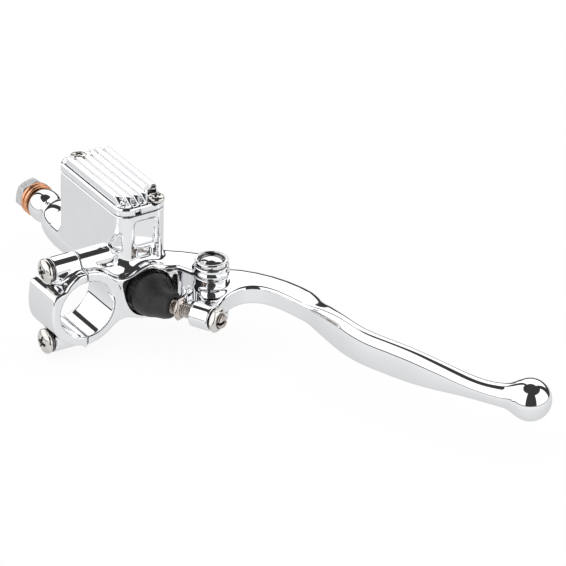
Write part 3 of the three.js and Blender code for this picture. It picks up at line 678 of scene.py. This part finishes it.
def cap_field(points):
    x, y, z = points.T
    bosses = [prism(circle(x, z, bolt[2], BOLT_X, bolt[1]), y, SEAT_Y, 6, 0.4)
              for bolt in CLAMP_BOLTS]
    cap = join(prism(CAP(y, z), x, -CLAMP_W, 0, 1.0), np.minimum(*bosses), 2.4)
    for bolt_z in (UPPER_Z, LOWER_Z):
        seat = circle(x, z, 5.75, BOLT_X, bolt_z)
        cap = cut(cap, prism(seat, y, SEAT_Y - 12, SEAT_Y, 0.3), 0.3)
    cap = meet(cap, y + SPLIT_GAP, 0.08)
    cap = cut(cap, circle(y, z, BAR_R), 0.5)
    for bolt_z in (UPPER_Z, LOWER_Z):
        hole = circle(x, z, BOLT_HOLE_R, BOLT_X, bolt_z) + np.where(np.abs(z) < 10, 50, 0)
        cap = cut(cap, np.maximum(hole, 13.6 - np.hypot(y, z)), 0.05)
    return cap


# ------------------------------------------------------------------ ribbed lid
RIB_PITCH, RIB_HALF = 3.6, 1.2
# each rib, towards +Y: inset from the -X end, inset from the +X end
RIB_INSETS = [(5.4, 3.0), (4.6, 0.6), (4.6, 0.5), (3.0, 0.5), (3.6, 0.6), (5.0, 3.0)]


def rib_field(x, y, z, rib_y, start_x, end_x):
    """A rib pointed in plan at its +X end, with both ends sloping down."""
    aside = np.abs(y - rib_y)
    plan = meet(aside - RIB_HALF, (x - end_x) * 0.36 + aside * 0.93, 0.5)
    rib = prism(meet(plan, start_x - x, 0.6), z, LID_Z1 - 2, LID_TOP, 0.7)
    rib = meet(rib, (-(x - start_x) * 2.0 + (z - (LID_Z1 + 0.4))) * 0.45, 0.6)
    return meet(rib, ((x - end_x) * 0.9 + (z - (LID_Z1 + 0.1))) * 0.74, 0.8)


def lid_field(points):
    x, y, z = points.T
    plan = rounded_rect(x, y, RES_X0, RES_X1, RES_Y0, RES_Y1, 6.0)
    lid = meet(prism(plan, z, LID_Z0 - 4, LID_Z1, 1.3), LID_Z0 - z, 0.15)
    middle = (RES_Y0 + RES_Y1) / 2
    for i, (start, end) in enumerate(RIB_INSETS):
        rib_y = middle + (i - 2.5) * RIB_PITCH
        lid = join(lid, rib_field(x, y, z, rib_y, RES_X0 + start, RES_X1 - end), 0.45)
    # raised floor between the ribs
    raised = rounded_rect(x, y, RES_X0 + 5.5, RES_X1 - 4.5, RES_Y0 + 2.6, RES_Y1 - 2.6, 2.0)
    lid = join(lid, prism(raised, z, LID_Z1 - 2, LID_Z1 + 1.9, 0.5), 0.8)
    for _, screw_x, screw_y, seat_z, opening, _ in LID_SCREWS:
        lid = cut(lid, prism(circle(x, y, 4.9, screw_x, screw_y), z, seat_z, 60, 0.3), 0.4)
        lid = cut(lid, prism(rounded_rect(x, y, *opening, 0.6), z, seat_z, 60, 0.3), 0.4)
        lid = cut(lid, circle(x, y, 2.35, screw_x, screw_y), 0.2)
    # notch under the +X edge, then the hollow underside
    notch = rounded_rect(x, y, RES_X1 - 1.2, RES_X1 + 4, 25.3, 27.9, 0.3)
    lid = cut(lid, prism(notch, z, LID_Z0 - 2, LID_Z0 + 2.2, 0.2), 0.25)
    hollow = rounded_rect(x, y, RES_X0 + 2.1, RES_X1 - 2.1, RES_Y0 + 2.1, RES_Y1 - 2.1, 3.9)
    return cut(lid, prism(hollow, z, LID_Z0 - 3, LID_Z0 + 1.3, 0.2), 0.3)


# ------------------------------------------------------------------ lever
# grip stations along its centre line: x, y, half width, half height, superellipse exponent
GRIP = [
    (40, 79.2, 4.9, 3.9, 5), (46, 79.7, 4.5, 4.5, 4.4), (54, 79.8, 4.2, 5.9, 3.4),
    (60, 79.9, 4.05, 6.8, 2.9), (66, 80.1, 3.9, 7.7, 2.6), (72, 80.3, 3.9, 7.95, 2.5),
    (78, 80.9, 3.9, 7.8, 2.5), (84, 82.3, 3.9, 7.8, 2.5), (90, 84.5, 3.9, 7.8, 2.4),
    (96, 86.8, 3.85, 7.9, 2.4), (102, 89.2, 3.85, 7.85, 2.35), (108, 91.6, 3.8, 7.6, 2.3),
    (114, 94.1, 3.8, 7.0, 2.3), (120, 96.8, 3.8, 6.25, 2.3), (126, 99.5, 3.8, 5.4, 2.2),
    (132, 102.2, 3.9, 4.75, 2.2), (137, 104.7, 4.0, 4.55, 2.1), (141, 107.2, 4.2, 4.7, 2),
    (144.5, 110, 4.8, 5.1, 2), (148, 113.3, 5.6, 5.7, 2)]
BALL_X, BALL_Y, BALL_R = 152.3, 117.2, 8.9


def smooth_rows(rows, count, passes):
    """Dense resampling of the stations, relaxed so that no kink is left in the chrome."""
    rows = np.array(rows, float)
    along = np.concatenate([[0], np.cumsum(np.hypot(*np.diff(rows[:, :2], axis=0).T))])
    places = np.linspace(0, along[-1], count)
    dense = np.stack([np.interp(places, along, column) for column in rows.T], 1)
    for _ in range(passes):
        dense[1:-1] = 0.25 * dense[:-2] + 0.5 * dense[1:-1] + 0.25 * dense[2:]
    return dense


STATIONS = smooth_rows(GRIP, count=230, passes=60)


def grip_values(x, y):
    """Signed offset from the centre line, half width, half height, exponent and run-out."""
    points = np.stack([x.ravel(), y.ravel()], 1)
    starts = STATIONS[:-1, :2]
    edges = STATIONS[1:, :2] - starts
    lengths2 = (edges * edges).sum(1)
    best = np.full(len(points), 1e18)
    out = np.zeros((5, len(points)))
    last = len(starts) - 1
    for i, (edge, length2) in enumerate(zip(edges, lengths2)):
        offset = points - starts[i]
        t = (offset @ edge) / length2
        clamped = np.clip(t, 0, 1)
        gap = offset - clamped[:, None] * edge
        distance2 = (gap * gap).sum(1)
        nearer = distance2 < best
        best[nearer] = distance2[nearer]
        length = math.sqrt(length2)
        normal = np.array([-edge[1], edge[0]]) / length
        station = STATIONS[i] + (STATIONS[i + 1] - STATIONS[i]) * clamped[:, None]
        run_out = np.zeros(len(points))
        if i == 0:
            run_out = np.maximum(-t, 0)
        elif i == last:
            run_out = np.maximum(t - 1, 0)
        values = np.stack([offset @ normal, *station[:, 2:].T, run_out * length])
        out[:, nearer] = values[:, nearer]
    return out.reshape(5, *x.shape)


GRIP_TABLE = Table(grip_values, (34, 66), (164, 130), 0.4)


def boss_corner(along, side):
    """A sharp outline corner placed from the push screw's axis."""
    x, y, _ = push_point(along)
    return (x - math.sin(PUSH_ANGLE) * side, y + math.cos(PUSH_ANGLE) * side, 1)


# lever plate around the pivot, (x, y)
PLATE_EDGE = [
    (52, 84.1), (44, 84.6), (38, 84.7), (32, 83.4), (25, 81.0), (18.4, 77.8), (12.2, 73.7),
    (7.0, 69.2), (3.9, 65.2), (2.8, 61), (3.1, 56.5)]
PLATE = curve_outline([
    (4.2, 52.5), (5.2, 48.4), (8.2, 45.5), (11.8, 44.6), (15.4, 43.4), (18.6, 41.6),
    boss_corner(15.4, 4.4), boss_corner(15.4, -3.2), boss_corner(24.0, -3.2),
    boss_corner(24.0, 4.4), (28.3, 46.6), (25.6, 50), (23.4, 54.4), (22.3, 58.2), (22.2, 61.6),
    (23.4, 65), (26.2, 68.2), (30.4, 70.6), (36.5, 72.6), (44, 74.3), (52, 75.5), (62, 75.9, 1),
    (62, 83.9, 1)] + PLATE_EDGE, 5)
# region bounded by the plate's +Y edge, (x, y)
PLATE_REGION = outline([(-10, 40)] + PLATE_EDGE[::-1]
                       + [(62, 83.9), (90, 84), (90, 20), (-10, 20)])


def grip_field(x, y, z):
    """Superelliptical section that follows the centre line."""
    offset, width, height, power, run_out, beyond = GRIP_TABLE(x, y)
    across, up = np.abs(offset) / width, np.abs(z) / height
    level = np.maximum((across ** power + up ** power), 1e-9) ** (1 / power)
    base = np.maximum(level, 1e-4)
    slope_across = (np.maximum(across, 1e-6) / base) ** (power - 1) / width
    slope_up = (np.maximum(up, 1e-6) / base) ** (power - 1) / height
    grip = (level - 1) / np.maximum(np.hypot(slope_across, slope_up), 1e-3)
    grip = np.where(run_out > 0, np.hypot(np.maximum(grip, 0), run_out), grip)
    return grip + beyond


def lever_field(points):
    x, y, z = points.T
    lever = prism(PLATE(x, y), z, -LEVER_H, LEVER_H, 1.6)
    lever = droop(lever, z, LEVER_H, PLATE_REGION(x, y), width=4.6, limit=9, spread=19.0)
    hub = prism(circle(x, y, EAR_R, PIVOT_X, PIVOT_Y) + 0.1, z, -HUB_H, HUB_H, 0.35)
    lever = join(lever, hub, 1.4)
    screw_x, screw_y, along = local(points, push_point(0), PUSH_AXIS)
    lever = join(lever, prism(circle(screw_x, screw_y, 5.35), along, 15.3, 24.2, 0.45), 1.2)
    # the plate turns into the grip between x = 40 and 57
    part = np.clip((x - 40) / 17, 0, 1)
    part = part * part * (3 - 2 * part)
    lever = np.where(part > 0, lever * (1 - part) + grip_field(x, y, z) * part, lever)
    ball = np.sqrt((x - BALL_X) ** 2 + (y - BALL_Y) ** 2 + z ** 2) - BALL_R
    lever = join(lever, ball, 3.0)
    lever = cut(lever, circle(x, y, 5.35, PIVOT_X, PIVOT_Y), 0.3)
    return cut(lever, prism(circle(screw_x, screw_y, 3.2), along, 12, 28), 0.3)


# ------------------------------------------------------------------ small hardware
def cross_recess(x, y, z, top, reach, depth):
    """Cross recess with tapering wings, cut down from top."""
    t = np.clip((top - z) / depth, 0, 1)
    long = reach * (1 - 0.55 * t)
    half = 0.24 * reach * (1 - 0.3 * t)
    wings = np.minimum(np.maximum(np.abs(x) - long, np.abs(y) - half),
                       np.maximum(np.abs(y) - long, np.abs(x) - half))
    core = np.hypot(x, y) - 0.45 * reach * (1 - 0.6 * t)
    return np.maximum(np.minimum(wings, core), (top - z) - depth)


def thread(x, y, z, pitch):
    """Helical wave between 0 and 1."""
    return 0.5 + 0.5 * np.sin(2 * np.pi * z / pitch - np.arctan2(y, x))


def pan_screw(origin, axis, radius, head, shank_r, length, reach, spin):
    def field(points):
        x, y, z = local(points, origin, axis, spin)
        off_axis = np.hypot(x, y)
        dome_r = 1.7 * radius
        dome = np.sqrt(off_axis * off_axis + (z - head + dome_r) ** 2) - dome_r
        screw = meet(prism(off_axis - radius, z, 0, head + 2, 0.25), dome, 0.5)
        screw = cut(screw, cross_recess(x, y, z, head + 0.2, reach, 0.9 * head), 0.12)
        threaded_r = shank_r - 0.25 * thread(x, y, z, pitch=0.9)
        return np.minimum(screw, prism((off_axis - threaded_r) * 0.9, z, -length, 0.4, 0.3))
    return field


def washer(origin, axis, radius, hole_r, thick, rounding, split=False):
    def field(points):
        x, y, z = local(points, origin, axis)
        band = np.abs(np.hypot(x, y) - (radius + hole_r) / 2) - (radius - hole_r) / 2
        ring = prism(band, z, 0, thick, rounding)
        if split:
            slanted = np.abs(x + 0.5 * (z - thick / 2)) - 0.45
            ring = cut(ring, prism(slanted, y, 0, 12), 0.1)
        return ring
    return field


def hex_nut(origin, across_flats, thick, bevel):
    """Nut on the push screw."""
    def field(points):
        x, y, z = local(points, origin, PUSH_AXIS, 0.5)
        off_axis = np.hypot(x, y)
        nut = prism(hexagon(x, y, across_flats), z, 0, thick, 0.15)
        from_face = np.minimum(z, thick - z)
        cone = ((off_axis - across_flats / 2 - 0.02) + (bevel - from_face) * 1.4) * 0.58
        return cut(meet(nut, cone, 0.35), off_axis - 3.15, 0.3)
    return field


def outlet_bolt(points):
    """Drilled hex bolt; z runs outwards, towards -X."""
    x, y, z = local(points, (NECK_X - RING_GAP - 2 * RING_PITCH, CYL_Y, 0), TO_OUTLET, 0.2)
    off_axis = np.hypot(x, y)
    bolt = prism(hexagon(x, y, 12.6), z, 0, 5.6, 0.3)
    bolt = meet(bolt, ((off_axis - 6.2) + (z - 4.9) * 1.5) * 0.55, 0.4)
    bolt = meet(bolt, ((off_axis - 6.5) - z * 1.6) * 0.53, 0.4)
    bolt = cut(bolt, prism(off_axis - 3.6, z, 5.25, 9, 0.2), 0.2)
    shank_r = np.where(z < -5.5, 4.9 - 0.3 * thread(x, y, z, pitch=1.25), 4.7)
    bolt = np.minimum(bolt, prism((off_axis - shank_r) * 0.9, z, -19.5, 0.6, 0.5))
    return cut(bolt, prism(off_axis - 1.6, z, -24, -4.4), 0.2)


def pivot_screw(points):
    """Round head with a ring groove and a domed middle, on a plain shank."""
    x, y, z = points.T
    (_, _, bottom), (_, _, top) = span("pivot_bolt")
    ear_top = EAR_Z + EAR_T
    dome_r = 7.6
    off_axis = np.hypot(x - PIVOT_X, y - PIVOT_Y)
    head = prism(off_axis - 7.0, z, ear_top + 0.12, top - 0.1, 0.7)
    head = cut(head, prism(off_axis - 5.7, z, top - 1.9, top + 6, 0.4), 0.5)
    dome = np.sqrt(off_axis * off_axis + (z - (top + 0.3 - dome_r)) ** 2) - dome_r
    dome = np.maximum(dome, top - 2.4 - z)
    head = np.minimum(head, meet(dome, off_axis - 5.45, 0.3))
    return join(head, prism(off_axis - 4.0, z, bottom, ear_top + 0.5, 0.5), 0.1)


def push_screw(points):
    """Threaded screw with a ball nose and a slotted end."""
    x, y, z = local(points, push_point(0), PUSH_AXIS)
    radius, nose_z = 3.0, 2.2
    off_axis = np.hypot(x, y)
    ridge = np.abs(((z / 1.0 - np.arctan2(y, x) / (2 * np.pi)) % 1.0) * 2 - 1)
    groove = 0.45 * np.clip((z - 2.4) / 2.0, 0, 1) * np.clip(ridge * 1.3 - 0.15, 0, 1)
    nose = np.sqrt(off_axis * off_axis + (z - nose_z) ** 2) - radius
    screw = np.where(z < nose_z, nose, (off_axis - radius + groove) * 0.85)
    end = np.maximum(z - 29.5, (off_axis - 2.7 + (z - 29.2)) * 0.7)
    return cut(meet(screw, end, 0.15), prism(np.abs(y) - 0.62, z, 27.5, 34), 0.1)


TO_CAP, TO_OUTLET = (0, -1, 0), (-1, 0, 0)

build("cast_body", body_field, "master_cylinder_body", 0.48, CHROME, crease=0.3)
build("handlebar_cap", cap_field, "clamp_cap", 0.36, CHROME, crease=0.25)
build("ribbed_lid", lid_field, "reservoir_cover", 0.27, CHROME, crease=0.18)
build("hand_lever", lever_field, "brake_lever", 0.45, CHROME, crease=0.3)

for name, bolt_z, _, _, _, _, length, spin in CLAMP_BOLTS:
    ring = washer((BOLT_X, SEAT_Y - 0.15, bolt_z), TO_CAP, radius=5.0, hole_r=3.3, thick=1.15,
                  rounding=0.15, split=True)
    build(f"cap_lock_ring_{name}", ring, f"clamp_washer_{name}", 0.2, LOCK)
    screw = pan_screw((BOLT_X, SEAT_Y - 1.45, bolt_z), TO_CAP, radius=5.35, head=3.0,
                      shank_r=2.95, length=length, reach=3.5, spin=spin)
    build(f"cap_screw_{name}", screw, f"clamp_screw_{name}", 0.22, NICKEL)
for name, screw_x, screw_y, seat_z, _, spin in LID_SCREWS:
    screw = pan_screw((screw_x, screw_y, seat_z + 0.12), (0, 0, 1), radius=3.55, head=2.7,
                      shank_r=1.95, length=10.5, reach=2.2, spin=spin)
    build(f"lid_screw_{name}", screw, f"cover_screw_{name}", 0.17, NICKEL)
for i, name in enumerate(("inner", "outer")):
    ring = washer((NECK_X - RING_GAP - i * RING_PITCH, CYL_Y, 0), TO_OUTLET,
                  radius=7.2, hole_r=5.2, thick=1.95, rounding=0.85)
    build(f"copper_ring_{name}", ring, f"copper_washer_{name}", 0.2, COPPER, crease=0.12)
build("outlet_hex_bolt", outlet_bolt, "banjo_bolt", 0.25, ZINC)
build("pivot_screw", pivot_screw, "pivot_bolt", 0.22, POLISHED, crease=0.15)

INNER_NUT_T = 4.0
inner_nut_mid = (centre("adjuster_nut_inner")[0] - PUSH_X) / PUSH_AXIS[0]
inner_nut = hex_nut(push_point(inner_nut_mid - INNER_NUT_T / 2), across_flats=8.9,
                    thick=INNER_NUT_T, bevel=1.3)
build("lock_nut_inner", inner_nut, "adjuster_nut_inner", 0.17, BROWNED, crease=0.14)
outer_nut = hex_nut(push_point(24.4), across_flats=9.4, thick=3.4, bevel=0.6)
build("lock_nut_outer", outer_nut, "adjuster_nut_outer", 0.17, NICKEL, crease=0.14)
build("push_screw", push_screw, "adjuster_screw", 0.15, BROWNED, crease=0.1)


# ------------------------------------------------------------------ dust boot
def tube_quads(rings, sides, closed):
    """Quads between successive rings of points; closed joins the last ring to the first."""
    i, j = np.meshgrid(np.arange(rings if closed else rings - 1), np.arange(sides),
                       indexing="ij")
    here, there, turn = i * sides, ((i + 1) % rings) * sides, (j + 1) % sides
    return np.stack([here + j, here + turn, there + turn, there + j], -1).reshape(-1, 4)


# rings of the boot, out along its outside and back inside: x, shift in y, heading (rad), radius
BOOT_RINGS = [
    (-4.3, 0, 0, 8.9), (-2, 0, 0, 8.95), (0.3, 0, 0, 9.0), (0.8, 0, 0, 9.15),
    (1.3, 0.02, 0.01, 9.4), (2.0, 0.05, 0.02, 9.5), (2.8, 0.1, 0.04, 9.35), (3.6, 0.2, 0.07, 9.1),
    (4.8, 0.4, 0.12, 8.75), (6.2, 0.62, 0.17, 7.95), (7.6, 0.95, 0.24, 7.2), (9.0, 1.3, 0.3, 6.6),
    (10.4, 1.68, 0.37, 6.25), (11.6, 2.0, 0.42, 6.1), (12.7, 2.35, 0.46, 5.95),
    (13.5, 2.65, 0.48, 5.8), (14.0, 2.85, 0.48, 5.6), (14.35, 3.0, 0.48, 5.2),
    (14.45, 3.05, 0.48, 4.6),
    (14.45, 3.05, 0.48, 3.9), (14.3, 3.0, 0.48, 3.4), (13.7, 2.75, 0.48, 3.3),
    (12.9, 2.45, 0.46, 3.5), (12.0, 2.15, 0.43, 4.6), (10.6, 1.75, 0.37, 5.1), (9.0, 1.3, 0.3, 5.5),
    (6.4, 0.7, 0.18, 6.7), (4.0, 0.3, 0.1, 8.0), (1, 0, 0, 7.8), (-2, 0, 0, 7.6),
    (-4.0, 0, 0, 7.6), (-4.5, 0, 0, 7.9), (-4.6, 0, 0, 8.4)]


def dust_boot(sides=72):
    rows = np.array(BOOT_RINGS, float)
    count = len(rows)
    places = np.linspace(0, count, count * 4, endpoint=False)
    rings = np.stack([np.interp(places, np.arange(count + 1), np.append(column, column[0]))
                      for column in rows.T], 1)
    for _ in range(3):
        rings = 0.25 * np.roll(rings, 1, 0) + 0.5 * rings + 0.25 * np.roll(rings, -1, 0)
    angle = np.linspace(0, 2 * np.pi, sides, endpoint=False)
    points = []
    for x, shift, heading, radius in rings:
        side = np.array([-math.sin(heading), math.cos(heading), 0])
        # the middle of the boot sags
        sag = -0.9 * min(max((x - 3) / 6, 0), 1) * (1 - min(max((x - 11) / 3, 0), 1))
        points.append(np.array([x, CYL_Y + shift, sag])
                      + np.cos(angle)[:, None] * radius * side
                      + np.sin(angle)[:, None] * radius * np.array([0, 0, 1.0]))
    made = mesh_object("rubber_boot", np.array(points).reshape(-1, 3),
                       tube_quads(len(rings), sides, closed=True))
    made.data.materials.append(RUBBER)
    return made


boot = dust_boot()
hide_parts("dust_boot")
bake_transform(boot)


# ------------------------------------------------------------------ return spring
def coil_spring(wire=0.46, radius=4.28, turns=6.5, steps=520, sides=12):
    """Coil along the cylinder axis, wound closer over the first and last 12 % of its length."""
    low, high = span("return_spring")
    t = np.linspace(0, 1, steps)
    rise = np.clip((t - 0.12) / 0.76, 0, 1)
    ends = np.minimum(t, 0.12) / 0.12 + np.maximum(t - 0.88, 0) / 0.12
    ends = ends / ends[-1]
    x = (high[0] - wire - 0.05
         + (low[0] - high[0] + 2 * wire + 0.1) * (0.94 * rise + 0.06 * ends))
    angle = 2 * np.pi * turns * t
    path = np.stack([x, CYL_Y + radius * np.cos(angle), radius * np.sin(angle)], 1)
    tangent = np.gradient(path, axis=0)
    tangent /= np.linalg.norm(tangent, axis=1)[:, None]
    outward = np.stack([0 * angle, np.cos(angle), np.sin(angle)], 1)
    outward -= (outward * tangent).sum(1)[:, None] * tangent
    outward /= np.linalg.norm(outward, axis=1)[:, None]
    across = np.cross(tangent, outward)
    around = np.linspace(0, 2 * np.pi, sides, endpoint=False)[None, :, None]
    points = path[:, None, :] + wire * (np.cos(around) * outward[:, None, :]
                                        + np.sin(around) * across[:, None, :])
    k = np.arange(sides // 2 - 1)
    end_cap = np.stack([k, k + 1, sides - 2 - k, sides - 1 - k], 1)
    quads = np.concatenate([tube_quads(steps, sides, closed=False), end_cap[:, ::-1],
                            end_cap + (steps - 1) * sides])
    made = mesh_object("coil_spring", points.reshape(-1, 3), quads)
    made.data.materials.append(ZINC)
    return made


spring = coil_spring()
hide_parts("return_spring")
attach(spring, "body")
slide = next(j for j in frame["joints"] if j["name"] == "piston_slide")
stroke = max(abs(v) for v in slide["range_m"])
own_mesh(spring)


# ------------------------------------------------------------------ floor
def floor_material():
    """White glow with a painted contact shadow, slightly dimmed near the piece, and clear from below."""
    material = bpy.data.materials.new("floor_paper")
    material.use_nodes = True
    tree = material.node_tree
    tree.nodes.clear()
    # painted contact shadow: occlusion dims the floor's glow near the piece
    occlusion = node(tree, "ShaderNodeAmbientOcclusion", {"Distance": 0.03}, samples=6)
    strength = node(tree, "ShaderNodeMapRange", {
        "From Min": 0.0, "From Max": 0.9, "To Min": 0.93, "To Max": 1.0,
        "Value": occlusion.outputs["AO"]})
    glow = node(tree, "ShaderNodeEmission", {
        "Color": (1, 1, 1, 1), "Strength": strength.outputs["Result"]})
    mix = node(tree, "ShaderNodeMixShader", {
        "Fac": node(tree, "ShaderNodeNewGeometry").outputs["Backfacing"],
        1: glow.outputs[0], 2: node(tree, "ShaderNodeBsdfTransparent").outputs[0]})
    node(tree, "ShaderNodeOutputMaterial", {"Surface": mix.outputs[0]})
    return material


floor_mesh = bpy.data.meshes.new("studio_floor")
floor_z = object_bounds()[0][2] - 0.0006
floor_mesh.from_pydata([(x, y, floor_z) for x, y in ((-9, -9), (9, -9), (9, 9), (-9, 9))],
                       [], [(0, 1, 2, 3)])
floor = link("studio_floor", floor_mesh)
floor.data.materials.append(floor_material())
floor.visible_glossy = False
floor.visible_shadow = False

# ------------------------------------------------------------------ world
# soft boxes, degrees: azimuth, half width, bottom, top, softness of the bottom, brightness
SOFT_BOXES = [(-113.5, 56.0, -4.6, 57.0, 0.5, 1.25), (38.5, 39.0, -5.8, 47.0, 0.5, 1.25),
              (139.0, 36.5, 12.0, 61.0, 2.0, 1.3)]
SIDE_SOFT, TOP_SOFT = 1.2, 1.4              # softness of the boxes' other edges, degrees
# pale table seen below the horizon: its edge, and brightness with its two gains
TABLE_EDGE, TABLE_SOFT = -8.4, 0.5          # degrees
TABLE_LEVEL, TABLE_SIDE_GAIN, TABLE_RISE_GAIN = 0.745, 0.10, 0.10
TABLE_RISE = (-22.0, 18.0)                  # elevation and softness of the second gain, degrees
TABLE_BRIGHT_SIDE = (0.742, -0.462)         # x, y direction of the first gain
DARK_LEVEL = 0.045                          # brightness added above the table
TINT = (0.992, 1.0, 1.008)                  # red, green, blue

world = bpy.data.worlds.new("studio")
bpy.context.scene.world = world
world.use_nodes = True
sky = world.node_tree
sky.nodes.clear()


def calc(operation, *values):
    return node(sky, "ShaderNodeMath", dict(enumerate(values)), operation=operation).outputs[0]


def add(a, b):
    return calc("ADD", a, b)


def times(a, b):
    return calc("MULTIPLY", a, b)


def rise_at(value, edge, soft):
    """Rises from 0 to 1 around edge."""
    return node(sky, "ShaderNodeMapRange", {
        "From Min": edge - soft, "From Max": edge + soft, "Value": value},
        interpolation_type="SMOOTHSTEP").outputs["Result"]


def fall_at(value, edge, soft):
    return calc("SUBTRACT", 1.0, rise_at(value, edge, soft))


DEGREES = 57.29578
coords = node(sky, "ShaderNodeTexCoord").outputs["Generated"]
sky_x, sky_y, sky_z = node(sky, "ShaderNodeSeparateXYZ", {0: coords}).outputs
elevation = times(calc("ARCSINE", sky_z), DEGREES)


def soft_box(azimuth, half, bottom, top, bottom_soft, brightness):
    cos, sin = math.cos(math.radians(azimuth)), math.sin(math.radians(azimuth))
    ahead = add(times(sky_x, cos), times(sky_y, sin))
    aside = calc("SUBTRACT", times(sky_y, cos), times(sky_x, sin))
    turn = calc("ABSOLUTE", times(calc("ARCTAN2", aside, ahead), DEGREES))
    mask = times(fall_at(turn, half, SIDE_SOFT), rise_at(elevation, bottom, bottom_soft))
    return times(times(mask, fall_at(elevation, top, TOP_SOFT)), brightness)


first, second, third = (soft_box(*row) for row in SOFT_BOXES)
boxes = add(add(first, second), third)
facing = add(times(sky_x, TABLE_BRIGHT_SIDE[0]), times(sky_y, TABLE_BRIGHT_SIDE[1]))
table_level = add(TABLE_LEVEL, times(facing, TABLE_SIDE_GAIN))
table_level = add(table_level, times(rise_at(elevation, *TABLE_RISE), TABLE_RISE_GAIN))
table_mask = fall_at(elevation, TABLE_EDGE, TABLE_SOFT)
dark = times(calc("SUBTRACT", 1.0, table_mask), DARK_LEVEL)
brightness = add(add(boxes, times(table_mask, table_level)), dark)
studio = node(sky, "ShaderNodeCombineColor",
              {k: times(brightness, gain) for k, gain in enumerate(TINT)}).outputs[0]
# the camera itself sees plain white
mix = node(sky, "ShaderNodeMixShader", {
    "Fac": node(sky, "ShaderNodeLightPath").outputs["Is Camera Ray"],
    1: node(sky, "ShaderNodeBackground", {"Color": studio}).outputs[0],
    2: node(sky, "ShaderNodeBackground", {"Color": (1, 1, 1, 1)}).outputs[0]})
node(sky, "ShaderNodeOutputWorld", {"Surface": mix.outputs[0]})


# ------------------------------------------------------------------ lights and camera
def area_light(name, azimuth, elevation, distance, size, power):
    """Square light aimed at the origin; angles in degrees."""
    data = bpy.data.lights.new(name, "AREA")
    data.energy, data.size = power, size
    light = link(name, data)
    turn, tilt = math.radians(azimuth), math.radians(elevation)
    towards = Vector((math.cos(turn) * math.cos(tilt), math.sin(turn) * math.cos(tilt),
                      math.sin(tilt)))
    light.location = towards * distance
    light.rotation_mode = "QUATERNION"
    light.rotation_quaternion = (-towards).to_track_quat("-Z", "Y")
    light.visible_glossy = False
    light.visible_camera = False


area_light("soft_left", azimuth=-113, elevation=40, distance=1.2, size=0.7, power=6.0)
area_light("soft_top", azimuth=130, elevation=65, distance=1.2, size=0.8, power=7.0)

VIEW_TURN, VIEW_TILT, VIEW_ROLL = (math.radians(a) for a in (58.06, 29.067, -1.011))
VIEW_PLACE = (0.07997, 0.01101, 3.3333)     # metres right, up and back from the handlebar axis

camera_data = bpy.data.cameras.new("camera")
camera = link("camera", camera_data)
bpy.context.scene.camera = camera
right = np.array([math.cos(VIEW_TURN), math.sin(VIEW_TURN), 0])
back = np.array([math.sin(VIEW_TURN) * math.cos(VIEW_TILT),
                 -math.cos(VIEW_TURN) * math.cos(VIEW_TILT), math.sin(VIEW_TILT)])
up = np.cross(back, right)
cos, sin = math.cos(VIEW_ROLL), math.sin(VIEW_ROLL)
axes = np.array([cos * right - sin * up, sin * right + cos * up, back])
pose = np.eye(4)
pose[:3, :3] = axes.T
pose[:3, 3] = axes.T @ np.array(VIEW_PLACE) + OFFSET * MM
camera.matrix_world = Matrix(pose.tolist())
camera_data.sensor_width = 36
camera_data.lens = 517.606131
camera_data.clip_start, camera_data.clip_end = 0.1, 60

view = bpy.context.scene.view_settings
view.view_transform = "Standard"
view.look = "None"
view.exposure, view.gamma = 0.0, 1.0
